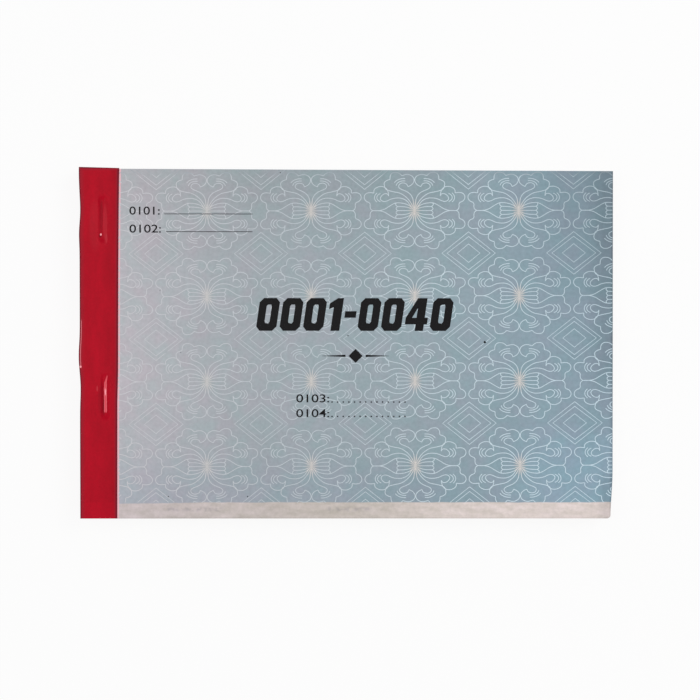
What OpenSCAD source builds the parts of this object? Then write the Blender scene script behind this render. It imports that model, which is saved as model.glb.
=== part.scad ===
// Triplicate receipt book: stapled sets of three sheets between two covers, taped along the spine.
// The spine lies towards -X, the head towards +Y and the front cover faces +Z.
// The origin is under the middle of the book, on the plane that it lies on.

/* [Book] */
// Width from the outer face of the spine to the fore edge
book_w = 190; // [150:1:260]
// Height from the tail to the head
book_h = 125; // [110:1:180]

/* [Paper] */
// Thickness of one sheet
sheet_t = 0.07; // [0.05:0.01:0.15]
// Number of receipt sets, each of a white, a pink and a yellow sheet
set_count = 40; // [10:1:60]
// Number of sets at the top whose sheets turn with the cover
loose_sets = 3; // [1:1:6]
// Distance from the tape's front edge to the tear-off perforation
perforation_inset = 3.5; // [2:0.5:10]
// Length of one perforation slit
slit_l = 1.7; // [1:0.1:3]
// Width of one perforation slit
slit_w = 0.2; // [0.1:0.05:0.4]
// Paper left between two slits
tie_l = 0.8; // [0.5:0.1:2]

/* [Covers] */
// Thickness of the front cover
front_cover_t = 0.2; // [0.15:0.05:0.6]
// Thickness of the back cover's board
back_cover_t = 1; // [0.9:0.1:2]

/* [Binding tape] */
// Thickness of the tape
tape_t = 0.12; // [0.08:0.02:0.2]
// Width of the tape's lap on the front cover, from the spine's outer face
tape_front_lap = 13.6; // [12:0.1:20]
// Width of the tape's lap under the back cover, from the spine's outer face
tape_back_lap = 12.8; // [12:0.1:20]
// Run of the tape's slope from a staple's crown down to the cover
tape_slope = 1.1; // [0.5:0.1:2]

/* [Staples] */
// Length of the crown
crown_l = 13; // [10:0.5:15]
// Width of the wire
wire_w = 0.9; // [0.6:0.05:1.2]
// Thickness of the wire
wire_t = 0.6; // [0.4:0.05:0.7]
// Length of each leg's clinched end
clinch_l = 3.2; // [2:0.1:4.5]
// Distance from the spine's outer face to the upper staple's crown
upper_staple_inset = 8; // [7:0.1:10]
// Distance from the spine's outer face to the lower staple's crown
lower_staple_inset = 8.8; // [7:0.1:10]
// Distance from the head to the middle of the upper staple
upper_staple_drop = 18.1; // [12:0.1:40]
// Distance from the head to the middle of the lower staple
lower_staple_drop = 81.2; // [60:0.1:95]
// Depth that the crown is pressed into the front cover
crown_dent = 0.12; // [0.05:0.01:0.14]

/* [Clearances] */
// Room round the staple's wire in its holes
wire_gap = 0.05; // [0.02:0.01:0.2]
// Room at a fold, or beside the tape, between two pieces of paper
fold_gap = 0.1; // [0.05:0.05:0.5]

/* [Hidden] */
// Colours of the three copies in a set, from the top
copy_names = ["white", "pink", "yellow"];
copy_colours = ["#f3f2ec", "#f1bfca", "#f4e59a"];
copies = len(copy_names);
last_copy = copies - 1;

// Places across the book
spine_x = -book_w / 2;
fore_x = book_w / 2;
paper_x = spine_x + tape_t;
crease_x = spine_x + tape_front_lap;
leaf_x = crease_x + fold_gap;
perforation_x = crease_x + perforation_inset;
board_x = spine_x + tape_back_lap + fold_gap;

// Heights, from the underside up
sheets_z = back_cover_t;
cover_z = sheets_z + set_count * copies * sheet_t;
cover_top_z = cover_z + front_cover_t;
tape_top_z = cover_top_z + tape_t;
crown_z = cover_top_z - crown_dent;
clinch_z = tape_t;
clinch_top_z = clinch_z + wire_t;

// Staple sizes that follow from its wire
crown_rise = wire_t - crown_dent + wire_gap;
leg_inner_y = crown_l / 2 - wire_t;
hole_w = wire_w + 2 * wire_gap;
hole_l = wire_t + 2 * wire_gap;

// Overrun of a cut past the face that it opens
cut = 1;

// Middle of each staple, seen from above
upper_staple_at = [spine_x + upper_staple_inset, book_h / 2 - upper_staple_drop];
lower_staple_at = [spine_x + lower_staple_inset, book_h / 2 - lower_staple_drop];
staple_places = [upper_staple_at, lower_staple_at];

// Names of the repeated pieces
function leaf_name(set, copy) = str("set_", set, "_", copy_names[copy], "_leaf");
function margin_name(set, copy) = str("set_", set, "_", copy_names[copy], "_margin");
function stack_name(copy) = str(copy_names[copy], "_sheets");

// Underside of a sheet, counted from the top set and from the white copy
function sheet_z(set, copy) = cover_z - ((set - 1) * copies + copy + 1) * sheet_t;

// Rectangle across the book from one place to another, over its full height
module strip(from_x, to_x) {
    translate([from_x, -book_h / 2])
        square([to_x - from_x, book_h]);
}

// Holes of the staples' legs
module leg_holes() {
    for (at = staple_places, side = [-1, 1])
        translate(at + [0, side * (leg_inner_y + wire_t / 2)])
            square([hole_w, hole_l], center = true);
}

// Row of tear-off slits along the perforation
module perforation() {
    pitch = slit_l + tie_l;
    slits = floor((book_h - tie_l) / pitch);
    for (i = [0 : slits - 1])
        translate([perforation_x, (i - (slits - 1) / 2) * pitch])
            square([slit_w, slit_l], center = true);
}

// Outline of what the staples hold of a sheet, up to a place across the book
module bound_outline(to_x) {
    difference() {
        strip(paper_x, to_x);
        leg_holes();
    }
}

// Rise that the tape makes over a staple's crown, standing on a cover's plane
module crown_tent() {
    top_w = wire_w + 2 * wire_gap;
    top_l = crown_l + 2 * wire_gap;
    foot_w = top_w + 2 * tape_slope;
    foot_l = top_l + 2 * tape_slope;
    linear_extrude(height = crown_rise, scale = [top_w / foot_w, top_l / foot_l])
        square([foot_w, foot_l], center = true);
}

module crown_tents(z) {
    for (at = staple_places)
        translate([at.x, at.y, z])
            crown_tent();
}

module binding_tape() {
    color("#ac1928")
        difference() {
            union() {
                linear_extrude(tape_top_z)
                    strip(spine_x, paper_x);
                linear_extrude(tape_t)
                    strip(spine_x, spine_x + tape_back_lap);
                translate([0, 0, cover_top_z])
                    linear_extrude(tape_t)
                        strip(spine_x, crease_x);
                crown_tents(tape_top_z);
            }
            crown_tents(cover_top_z);
        }
}

// Quarter round of the wire at a bend, about the bend's inner corner
module wire_bend() {
    rotate([90, 0, 90])
        translate([0, 0, -wire_w / 2])
            rotate_extrude(angle = 90)
                square([wire_t, wire_w]);
}

// Half of a staple, from the middle of its crown to the end of one leg
module staple_half() {
    translate([-wire_w / 2, 0, crown_z])
        cube([wire_w, leg_inner_y, wire_t]);
    translate([0, leg_inner_y, crown_z])
        wire_bend();
    translate([-wire_w / 2, leg_inner_y, clinch_top_z])
        cube([wire_w, wire_t, crown_z - clinch_top_z]);
    translate([0, leg_inner_y, clinch_top_z])
        mirror([0, 0, 1])
            wire_bend();
    translate([-wire_w / 2, leg_inner_y - clinch_l, clinch_z])
        cube([wire_w, clinch_l, wire_t]);
}

module staple(at) {
    color("#b4b7bb")
        translate(at) {
            staple_half();
            mirror([0, 1, 0])
                staple_half();
        }
}

// Dents that the crowns press into the front cover
module crown_dents() {
    for (at = staple_places)
        translate([at.x, at.y, crown_z + cut / 2])
            cube([hole_w, crown_l + 2 * wire_gap, cut], center = true);
}

// Pockets that the clinched leg ends press into the back cover
module clinch_pockets() {
    pocket_l = wire_t + clinch_l + 2 * wire_gap;
    for (at = staple_places, side = [-1, 1])
        translate([at.x, at.y + side * (crown_l / 2 + wire_gap - pocket_l / 2), clinch_top_z - cut / 2])
            cube([hole_w, pocket_l, cut], center = true);
}

module front_cover() {
    color("#a0aeb6")
        translate([0, 0, cover_z])
            linear_extrude(front_cover_t)
                strip(leaf_x, fore_x);
}

module front_cover_margin() {
    color("#a0aeb6")
        difference() {
            translate([0, 0, cover_z])
                linear_extrude(front_cover_t)
                    bound_outline(crease_x);
            crown_dents();
        }
}

// The tape's back lap is pressed into the board, so that the underside is flush
module back_cover() {
    color("#a39c90")
        difference() {
            linear_extrude(back_cover_t)
                bound_outline(fore_x);
            translate([0, 0, tape_t - cut])
                linear_extrude(cut)
                    strip(spine_x, board_x);
            clinch_pockets();
        }
}

module leaf(set, copy) {
    color(copy_colours[copy])
        translate([0, 0, sheet_z(set, copy)])
            linear_extrude(sheet_t)
                difference() {
                    strip(leaf_x, fore_x);
                    perforation();
                }
}

module leaf_margin(set, copy) {
    color(copy_colours[copy])
        translate([0, 0, sheet_z(set, copy)])
            linear_extrude(sheet_t)
                bound_outline(crease_x);
}

// Whole sheets of one colour in the sets that stay flat
module flat_sheets(copy) {
    color(copy_colours[copy])
        for (set = [loose_sets + 1 : set_count])
            translate([0, 0, sheet_z(set, copy)])
                linear_extrude(sheet_t)
                    bound_outline(fore_x);
}

binding_tape();
staple(upper_staple_at);  // upper_staple
staple(lower_staple_at);  // lower_staple
front_cover();
front_cover_margin();
back_cover();
for (set = [1 : loose_sets], copy = [0 : last_copy]) {
    leaf(set, copy);
    leaf_margin(set, copy);
}
for (copy = [0 : last_copy])
    flat_sheets(copy);
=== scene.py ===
"""Looks of a triplicate receipt book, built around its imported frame."""

import logging
import math
import random
from collections.abc import Callable, Iterator, Sequence
from contextlib import contextmanager
from dataclasses import dataclass
from enum import Enum
from functools import cached_property, partial, reduce

import bpy
import numpy as np
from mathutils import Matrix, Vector, noise

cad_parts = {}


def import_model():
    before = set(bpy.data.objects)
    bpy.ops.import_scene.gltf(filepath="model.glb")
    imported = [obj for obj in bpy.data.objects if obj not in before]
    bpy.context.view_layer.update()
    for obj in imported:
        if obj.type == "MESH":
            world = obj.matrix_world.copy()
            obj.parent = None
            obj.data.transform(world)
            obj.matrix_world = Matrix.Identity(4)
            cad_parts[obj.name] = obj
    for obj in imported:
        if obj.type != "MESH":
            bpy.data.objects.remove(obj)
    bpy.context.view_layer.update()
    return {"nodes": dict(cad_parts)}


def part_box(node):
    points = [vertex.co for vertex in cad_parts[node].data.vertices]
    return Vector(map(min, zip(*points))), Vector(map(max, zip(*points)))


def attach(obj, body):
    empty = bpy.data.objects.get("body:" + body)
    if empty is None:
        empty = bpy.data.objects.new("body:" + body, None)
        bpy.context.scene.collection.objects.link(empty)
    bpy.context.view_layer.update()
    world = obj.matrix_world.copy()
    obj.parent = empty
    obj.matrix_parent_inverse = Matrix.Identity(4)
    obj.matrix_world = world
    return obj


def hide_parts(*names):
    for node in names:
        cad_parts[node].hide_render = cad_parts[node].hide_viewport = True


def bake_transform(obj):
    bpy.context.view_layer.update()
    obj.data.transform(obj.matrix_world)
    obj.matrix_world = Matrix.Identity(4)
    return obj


LOG = logging.getLogger("receipt_book")
MM = 0.001
ROOT_BODY = "bound_block"
COVER_BODY = "front_cover"
FROM_SPINE = "from_spine"
FROM_EDGE = "from_edge"
PAST_TAPE = "past_tape"
STRIP_TOP = -56.7
TOUCH = 1e-7

Pair = tuple[float, float]
Triple = tuple[float, float, float]
Rgb = tuple[float, float, float]
Box = tuple[float, float, float, float]
Stops = tuple[tuple[float, Rgb], ...]
Stroke = Sequence[Pair]
Object = bpy.types.Object
Material = bpy.types.Material
Curve = bpy.types.Curve
NodeTree = bpy.types.NodeTree
Node = bpy.types.Node
Socket = bpy.types.NodeSocket
Value = float | tuple | Socket
Feeds = dict[int | str, Value]


class Copy(Enum):
    """Colour of a sheet in its set, from the top."""

    WHITE = "white"
    PINK = "pink"
    YELLOW = "yellow"


class PlaceSource(Enum):
    """Where a material reads a point's place on the book."""

    PLAN_UV = "UV"
    OBJECT = "Object"


def linear(colour: Rgb) -> tuple[float, float, float, float]:
    """Turns an 8-bit sRGB colour into a linear one.

    Args:
        colour: Red, green and blue from 0 to 255.

    Returns:
        Linear red, green, blue and an alpha of one.
    """
    parts = [value / 255.0 for value in colour]
    red, green, blue = (
        part / 12.92 if part <= 0.04045 else ((part + 0.055) / 1.055) ** 2.4 for part in parts
    )
    return (red, green, blue, 1.0)


def smooth(value: np.ndarray) -> np.ndarray:
    """Smooth step of values, of which those from 0 to 1 lie on the step."""
    part = np.clip(value, 0.0, 1.0)
    return part * part * (3.0 - 2.0 * part)


def bell(offset: np.ndarray, width: float) -> np.ndarray:
    """Bell curve of height one, which has dropped to 0.61 at its width."""
    return np.exp(-0.5 * (offset / width) ** 2)


def deselect_all() -> None:
    """Leaves edit mode and deselects every object."""
    if bpy.context.object and bpy.context.object.mode != "OBJECT":
        bpy.ops.object.mode_set(mode="OBJECT")
    bpy.ops.object.select_all(action="DESELECT")


def activate(obj: Object) -> None:
    """Makes one object the only selected and the active one.

    Args:
        obj: Object to work on.
    """
    deselect_all()
    obj.select_set(True)
    bpy.context.view_layer.objects.active = obj


@contextmanager
def editing(obj: Object, chosen: np.ndarray | None = None, kind: str = "VERT") -> Iterator[None]:
    """Edits a mesh with a choice of its vertices or faces selected.

    Args:
        obj: Mesh object.
        chosen: One flag per vertex or face, or None to select everything.
        kind: "VERT" or "FACE".

    Yields:
        Nothing, while the mesh is in edit mode.
    """
    activate(obj)
    bpy.ops.object.mode_set(mode="EDIT")
    bpy.ops.mesh.select_mode(type=kind)
    bpy.ops.mesh.select_all(action="SELECT" if chosen is None else "DESELECT")
    if chosen is not None:
        bpy.ops.object.mode_set(mode="OBJECT")
        items = obj.data.vertices if kind == "VERT" else obj.data.polygons
        items.foreach_set("select", chosen)
        bpy.ops.object.mode_set(mode="EDIT")
    yield
    bpy.ops.object.mode_set(mode="OBJECT")


def vectors(items: Sequence, key: str) -> np.ndarray:
    """Reads one vector of each of a mesh's vertices or faces.

    Args:
        items: Vertices or faces.
        key: Blender's name of the vector.

    Returns:
        One row of x, y and z per item.
    """
    flat = np.empty(len(items) * 3)
    items.foreach_get(key, flat)
    return flat.reshape(-1, 3)


def positions(obj: Object) -> np.ndarray:
    """Places of a mesh's vertices, one row each."""
    return vectors(obj.data.vertices, "co")


def set_positions(obj: Object, places: np.ndarray) -> None:
    """Moves a mesh's vertices."""
    obj.data.vertices.foreach_set("co", places.ravel())
    obj.data.update()


def add_grid(name: str, xs: Sequence[float], ys: Sequence[float]) -> Object:
    """Adds a flat grid with its lines at given places.

    Args:
        name: Name of the piece.
        xs: Places of the columns.
        ys: Places of the rows.

    Returns:
        The grid, facing up at height zero.
    """
    deselect_all()
    columns, rows = len(xs) - 1, len(ys) - 1
    bpy.ops.mesh.primitive_grid_add(x_subdivisions=columns, y_subdivisions=rows, size=1.0)
    obj = bpy.context.object
    obj.name = name
    obj.data.name = name
    places = positions(obj)
    column = np.rint((places[:, 0] + 0.5) * columns).astype(int)
    row = np.rint((places[:, 1] + 0.5) * rows).astype(int)
    places[:, 0] = np.asarray(xs)[column]
    places[:, 1] = np.asarray(ys)[row]
    set_positions(obj, places)
    return obj


def modify(obj: Object, kind: str, **settings: object) -> None:
    """Adds a modifier and applies it.

    Args:
        obj: Mesh object.
        kind: Blender's name of the modifier.
        settings: The modifier's properties.
    """
    activate(obj)
    modifier = obj.modifiers.new(kind.lower(), kind)
    for key, value in settings.items():
        setattr(modifier, key, value)
    bpy.ops.object.modifier_apply(modifier=modifier.name)


def repeat(obj: Object, offset: Sequence[float], count: int) -> None:
    """Adds copies of a mesh along a line.

    Args:
        obj: Mesh object.
        offset: Distance from one copy to the next.
        count: Number of copies with the first.
    """
    modify(
        obj,
        "ARRAY",
        use_relative_offset=False,
        use_constant_offset=True,
        constant_offset_displace=offset,
        count=count,
    )


def add_lines(curve: Curve, points: Stroke, closed: bool = True) -> None:
    """Adds straight lines to a curve.

    Args:
        curve: Curve.
        points: Places of the lines' ends.
        closed: Whether the last point is joined to the first.
    """
    spline = curve.splines.new("POLY")
    spline.points.add(len(points) - 1)
    spline.use_cyclic_u = closed
    for point, (x, y) in zip(spline.points, points):
        point.co = (x, y, 0.0, 1.0)


def link_curve(curve: Curve) -> Object:
    """Puts a curve in the scene as an object of its own name.

    Args:
        curve: Curve.

    Returns:
        The object.
    """
    obj = bpy.data.objects.new(curve.name, curve)
    bpy.context.scene.collection.objects.link(obj)
    return obj


def curve_mesh(curve: Curve) -> Object:
    """Turns a curve into a mesh.

    Args:
        curve: Curve.

    Returns:
        The mesh object.
    """
    activate(link_curve(curve))
    bpy.ops.object.convert(target="MESH")
    return bpy.context.object


def join(name: str, parts: Sequence[Object]) -> Object:
    """Joins meshes into one piece.

    Args:
        name: Name of the piece.
        parts: Meshes to join.

    Returns:
        The joined piece.
    """
    activate(parts[0])
    for part in parts:
        part.select_set(True)
    bpy.ops.object.join()
    obj = bpy.context.object
    obj.name = name
    obj.data.name = name
    return obj


def round_corner(obj: Object, radius: float, segments: int = 5) -> None:
    """Rounds the fore edge's tail corner of a flat sheet, where a book wears first.

    Args:
        obj: Flat sheet that is still open.
        radius: Radius of the corner.
        segments: Number of its facets.
    """
    places = positions(obj)
    reach = places[:, 0] - places[:, 1]
    with editing(obj, reach > reach.max() - TOUCH):
        bpy.ops.mesh.bevel(offset=radius, segments=segments, affect="VERTICES")


def shade(obj: Object, degrees: float = 35.0) -> None:
    """Shades a mesh smooth below an angle."""
    activate(obj)
    bpy.ops.object.shade_smooth_by_angle(angle=math.radians(degrees))


def mark(obj: Object, name: str, distances: np.ndarray) -> None:
    """Stores a distance at each vertex for the material, in millimetres."""
    attribute = obj.data.attributes.new(name, "FLOAT", "POINT")
    attribute.data.foreach_set("value", (distances / MM).astype(np.float32))


def dress(obj: Object, slot: str, *materials: Material) -> None:
    """Gives a piece its materials, and logs the record's slot that it takes its finish from.

    Args:
        obj: Piece.
        slot: Slot of the record that the piece takes its finish from.
        materials: Materials, in the order of the faces' material numbers.
    """
    for material in materials:
        obj.data.materials.append(material)
    LOG.info("%s: %d faces in slot %s", obj.name, len(obj.data.polygons), slot)


@dataclass(frozen=True)
class BookFrame:
    """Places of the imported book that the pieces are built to, in metres."""

    spine_x: float
    paper_x: float
    crease_x: float
    fore_x: float
    tail_y: float
    head_y: float
    board_top: float
    cover_under: float
    cover_top: float
    sheet_t: float
    fold_start: float = 0.45 * MM
    fore_stray: float = 0.45 * MM
    head_trim: Pair = (0.15 * MM, 0.7 * MM)
    corner_draw: float = 0.75 * MM
    corner_run: float = 17.0 * MM
    corner_power: int = 8

    @classmethod
    def read(cls) -> "BookFrame":
        """Reads the places from the loaded frame.

        Returns:
            The book's places.
        """
        tape_low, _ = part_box("binding_tape")
        margin_low, margin_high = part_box("front_cover_margin")
        cover_low, cover_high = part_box("front_cover")
        leaf_low, leaf_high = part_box("set_1_white_leaf")
        _, board_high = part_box("back_cover")
        return cls(
            spine_x=tape_low[0],
            paper_x=margin_low[0],
            crease_x=margin_high[0],
            fore_x=cover_high[0],
            tail_y=cover_low[1],
            head_y=cover_high[1],
            board_top=board_high[2],
            cover_under=cover_low[2],
            cover_top=cover_high[2],
            sheet_t=leaf_high[2] - leaf_low[2],
        )

    @property
    def tape_t(self) -> float:
        """Thickness of the binding tape."""
        return self.paper_x - self.spine_x

    @property
    def tape_top(self) -> float:
        """Height of the tape's front lap."""
        return self.cover_top + self.tape_t

    def shares(self, places: np.ndarray) -> tuple[np.ndarray, np.ndarray]:
        """Shares of the book's width and height.

        Args:
            places: Places, one row each.

        Returns:
            Shares from the spine to the fore edge, and from the tail to the head.
        """
        across = (places[:, 0] - self.spine_x) / (self.fore_x - self.spine_x)
        up = (places[:, 1] - self.tail_y) / (self.head_y - self.tail_y)
        return across, up

    def trim(self, places: np.ndarray) -> np.ndarray:
        """Skews flat sheets, because the block isn't trimmed quite square, and draws in a worn corner.

        Args:
            places: Places of a square sheet's points, one row each.

        Returns:
            The moved places.
        """
        across, up = self.shares(places)
        at_spine, at_fore = self.head_trim
        drawn = self.corner_draw * smooth(1.0 - (places[:, 1] - self.tail_y) / self.corner_run)
        drawn *= np.clip(across, 0.0, 1.0) ** self.corner_power
        moved = places.copy()
        moved[:, 0] += self.fore_stray * across * (1.0 - up) - drawn
        moved[:, 1] -= (at_spine + (at_fore - at_spine) * across) * up
        return moved

    def plan_uv(self, obj: Object) -> None:
        """Writes each corner's place in the book's plan to the UV map.

        Args:
            obj: Mesh object.
        """
        mesh = obj.data
        layer = mesh.uv_layers.active or mesh.uv_layers.new(name="UVMap")
        corner = np.empty(len(mesh.loops), dtype=np.int32)
        mesh.loops.foreach_get("vertex_index", corner)
        plan = np.stack(self.shares(positions(obj)), axis=1)[corner]
        layer.data.foreach_set("uv", plan.astype(np.float32).ravel())

    def fold(self, obj: Object, body: str, run: float) -> None:
        """Bakes a piece's transform into its mesh.

        Args:
            obj: Piece with its final mesh.
            body: Body that turns about the crease; not used.
            run: Width of the bend; not used.
        """
        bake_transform(obj)


class Shader:
    """Adds and joins nodes in one shader tree."""

    def __init__(self, tree: NodeTree) -> None:
        """Works on one tree."""
        self.tree = tree

    def feed(self, node: Node, feeds: Feeds) -> None:
        """Links other nodes' outputs to a node's inputs, or sets the inputs.

        Args:
            node: Node.
            feeds: Outputs or plain values, by the inputs' numbers or names.
        """
        for key, value in feeds.items():
            if isinstance(value, Socket):
                self.tree.links.new(value, node.inputs[key])
            else:
                node.inputs[key].default_value = value

    def node(self, kind: str, feeds: Feeds | None = None, **settings: object) -> Node:
        """Adds a node.

        Args:
            kind: Blender's name of the node without its "ShaderNode".
            feeds: Outputs or plain values for its inputs.
            settings: The node's properties.

        Returns:
            The node.
        """
        made = self.tree.nodes.new(f"ShaderNode{kind}")
        for key, value in settings.items():
            setattr(made, key, value)
        self.feed(made, feeds or {})
        return made

    def math(self, operation: str, *values: Value) -> Socket:
        """Result of a math node with Blender's name of the operation."""
        return self.node("Math", dict(enumerate(values)), operation=operation).outputs[0]

    def product(self, *values: Value) -> Socket:
        """Product of values."""
        return reduce(partial(self.math, "MULTIPLY"), values)

    def union(self, *masks: Value) -> Socket:
        """Masks joined by their highest value."""
        return reduce(partial(self.math, "MAXIMUM"), masks)

    def step(self, value: Value, low: float, high: float) -> Socket:
        """Smooth step from zero at the first value to one at the second, which may be the lower one."""
        feeds = {0: value, 1: low, 2: high}
        return self.node("MapRange", feeds, interpolation_type="SMOOTHSTEP").outputs[0]

    def band(self, value: Value, low: float, high: float, soft: float = 0.04) -> Socket:
        """Mask that is one between two values.

        Args:
            value: Value to test.
            low: Lower edge.
            high: Upper edge.
            soft: Half of each edge's width.

        Returns:
            The mask.
        """
        rising = self.step(value, low - soft, low + soft)
        falling = self.step(value, high + soft, high - soft)
        return self.math("MULTIPLY", rising, falling)

    def span(self, value: Value, low: float, high: float) -> Socket:
        """Maps a value from zero to one onto a span."""
        return self.math("MULTIPLY_ADD", value, high - low, low)

    def attribute(self, name: str) -> Socket:
        """Value that the piece's mesh carries."""
        return self.node("Attribute", attribute_name=name).outputs["Fac"]

    def ramp(self, factor: Value, stops: Stops) -> Socket:
        """Colour that runs through stops.

        Args:
            factor: Place on the ramp.
            stops: Places and their sRGB colours.

        Returns:
            The colour.
        """
        made = self.node("ValToRGB", {0: factor})
        points = made.color_ramp.elements
        while len(points) < len(stops):
            points.new(0.5)
        for point, (place, colour) in zip(points, stops):
            point.position = place
            point.color = linear(colour)
        return made.outputs[0]

    def mix(self, factor: Value, first: Value, second: Value, blend: str = "MIX") -> Socket:
        """Two colours mixed by a share of the second, in a way that Blender names."""
        feeds = {0: factor, 6: first, 7: second}
        return self.node("Mix", feeds, data_type="RGBA", blend_type=blend).outputs[2]

    def tone(self, colour: Value, factor: Value, share: Value = 1.0) -> Socket:
        """Colour multiplied by a tone or a tint, for a share of it."""
        return self.mix(share, colour, factor, "MULTIPLY")

    def paint(self, below: Value, colour: Rgb, *masks: Value) -> Socket:
        """Colour with an sRGB one laid over it, by the product of its masks."""
        return self.mix(self.product(*masks), below, linear(colour))

    def group(self, tree: NodeTree, **inputs: Value) -> dict[str, Socket]:
        """Outputs of a shared group by name, for given inputs."""
        made = self.node("Group", inputs, node_tree=tree)
        return {socket.name: socket for socket in made.outputs}

    def bump(self, height: Value, distance: float) -> Socket:
        """Normal of a height from zero to one, for a depth of the relief in metres."""
        return self.node("Bump", {"Distance": distance, "Height": height}).outputs[0]


def new_material(name: str) -> tuple[Material, Node]:
    """Adds a material with a principled shader.

    Args:
        name: Name of the material.

    Returns:
        The material and its principled node.
    """
    material = bpy.data.materials.new(name)
    material.use_nodes = True
    return material, material.node_tree.nodes["Principled BSDF"]


class PlacedShader(Shader):
    """Tree that knows the shaded point's place on the book, in millimetres."""

    def locate(self, place: Socket) -> None:
        """Takes a vector as the place."""
        self.place = place
        self.x, self.y, self.z = self.node("SeparateXYZ", {0: place}).outputs

    def noise(self, scale: float, detail: float = 2.0, stretch: Triple | None = None) -> Socket:
        """Noise about one half.

        Args:
            scale: Number of features in a millimetre.
            detail: Number of octaves of finer ones.
            stretch: Factors of the scale along each axis.

        Returns:
            The noise.
        """
        place = self.place
        if stretch:
            place = self.node("VectorMath", {0: place, 1: stretch}, operation="MULTIPLY").outputs[0]
        return self.node("TexNoise", {"Vector": place, "Scale": scale, "Detail": detail}).outputs[0]

    def patch(self, box: Box, soft: float = 0.04) -> Socket:
        """Mask of a rectangle, given by its lowest and highest x and y."""
        across = self.band(self.x, box[0], box[1], soft)
        return self.math("MULTIPLY", across, self.band(self.y, box[2], box[3], soft))

    def spot(self, area: Box, solid: float = 0.2) -> Socket:
        """Soft mask of an ellipse.

        Args:
            area: The ellipse's middle, and its half-sizes, at which the mask ends.
            solid: Share of its area that is fully covered.

        Returns:
            The mask.
        """
        parts = []
        for value, at, radius in zip((self.x, self.y), area[:2], area[2:]):
            offset = self.math("DIVIDE", self.math("SUBTRACT", value, at), radius)
            parts.append(self.math("MULTIPLY", offset, offset))
        return self.step(self.math("ADD", *parts), 1.0, solid)

    def fade(self, area: Box) -> Socket:
        """Soft mask that comes in across and up, given by where it starts and is full in x and in y."""
        across = self.step(self.x, area[0], area[1])
        return self.math("MULTIPLY", across, self.step(self.y, area[2], area[3]))


class EffectGroup(PlacedShader):
    """Node group that several finishes use. It reads a place and gives values."""

    def __init__(self, name: str, *numbers: str) -> None:
        """Adds the group.

        Args:
            name: Name of the group.
            numbers: Names of the numbers that it reads besides the place.
        """
        super().__init__(bpy.data.node_groups.new(name, "ShaderNodeTree"))
        self.tree.interface.new_socket("Place", in_out="INPUT", socket_type="NodeSocketVector")
        for number in numbers:
            self.tree.interface.new_socket(number, in_out="INPUT", socket_type="NodeSocketFloat")
        self.given = self.tree.nodes.new("NodeGroupInput").outputs
        self.locate(self.given["Place"])

    def give(self, **values: Value) -> NodeTree:
        """Adds the group's values.

        Args:
            values: Values by name.

        Returns:
            The finished group.
        """
        for name in values:
            self.tree.interface.new_socket(name, in_out="OUTPUT", socket_type="NodeSocketFloat")
        self.feed(self.tree.nodes.new("NodeGroupOutput"), values)
        return self.tree


@dataclass(frozen=True)
class Perforation:
    """Row of tear-off slits past the crease, in metres."""

    inset: float = 3.5 * MM
    slit_w: float = 0.2 * MM
    slit_l: float = 1.7 * MM
    tie: float = 0.8 * MM

    @property
    def pitch(self) -> float:
        """Distance from one slit to the next."""
        return self.slit_l + self.tie

    def mask(self, sh: PlacedShader, book: BookFrame) -> Socket:
        """Mask of the slits, for sheets that they aren't cut in.

        Args:
            sh: Tree to work in.
            book: Places of the book.

        Returns:
            The mask.
        """
        half_pitch = self.pitch / MM / 2
        half_l = self.slit_l / MM / 2
        half_w = self.slit_w / MM / 2
        at = (book.crease_x + self.inset) / MM
        along = sh.math("WRAP", sh.y, half_pitch, -half_pitch)
        return sh.product(sh.band(along, -half_l, half_l), sh.band(sh.x, at - half_w, at + half_w))


@dataclass(frozen=True)
class ReceiptForm:
    """Generic ruled form that is printed on the sheets, in millimetres."""

    table: Box = (-70.0, 88.0, -51.0, 17.0)
    row_pitch: float = 8.5
    row_half: float = 0.12
    row_overrun: float = 0.3
    columns: tuple[float, ...] = (-70.0, -57.0, 22.0, 50.0, 88.0)
    column_half: float = 0.15
    blanks: tuple[float, ...] = (25.0, 32.5, 40.0)
    blank_span: Pair = (-70.0, 40.0)
    blank_half: float = 0.14
    dot_pitch: float = 1.1
    dot_share: Pair = (0.25, 0.75)
    number_box: Box = (58.0, 88.0, 36.0, 48.0)
    number_line: float = 0.35
    heading: Box = (-40.0, 10.0, 47.0, 50.5)

    def mask(self, sh: PlacedShader) -> Socket:
        """Mask of the form's ink.

        Args:
            sh: Tree to work in.

        Returns:
            The mask.
        """
        left, right, low, high = self.table
        half_pitch = self.row_pitch / 2
        row = sh.math("WRAP", sh.math("SUBTRACT", sh.y, low), half_pitch, -half_pitch)
        rows = sh.product(
            sh.band(row, -self.row_half, self.row_half),
            sh.band(sh.x, left, right),
            sh.band(sh.y, low - self.row_overrun, high + self.row_overrun),
        )
        posts = [sh.band(sh.x, at - self.column_half, at + self.column_half) for at in self.columns]
        upright = sh.band(sh.y, low - self.column_half, high + self.column_half)
        columns = sh.product(sh.union(*posts), upright)
        dots = sh.band(sh.math("FRACT", sh.math("DIVIDE", sh.x, self.dot_pitch)), *self.dot_share)
        half = self.blank_half
        lines = [sh.patch((*self.blank_span, at - half, at + half)) for at in self.blanks]
        blanks = sh.product(sh.union(*lines), dots)
        signs = (1.0, -1.0, 1.0, -1.0)
        hollow = tuple(side + sign * self.number_line for side, sign in zip(self.number_box, signs))
        number = sh.math("SUBTRACT", sh.patch(self.number_box), sh.patch(hollow))
        return sh.union(rows, columns, blanks, number, sh.patch(self.heading))


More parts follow.
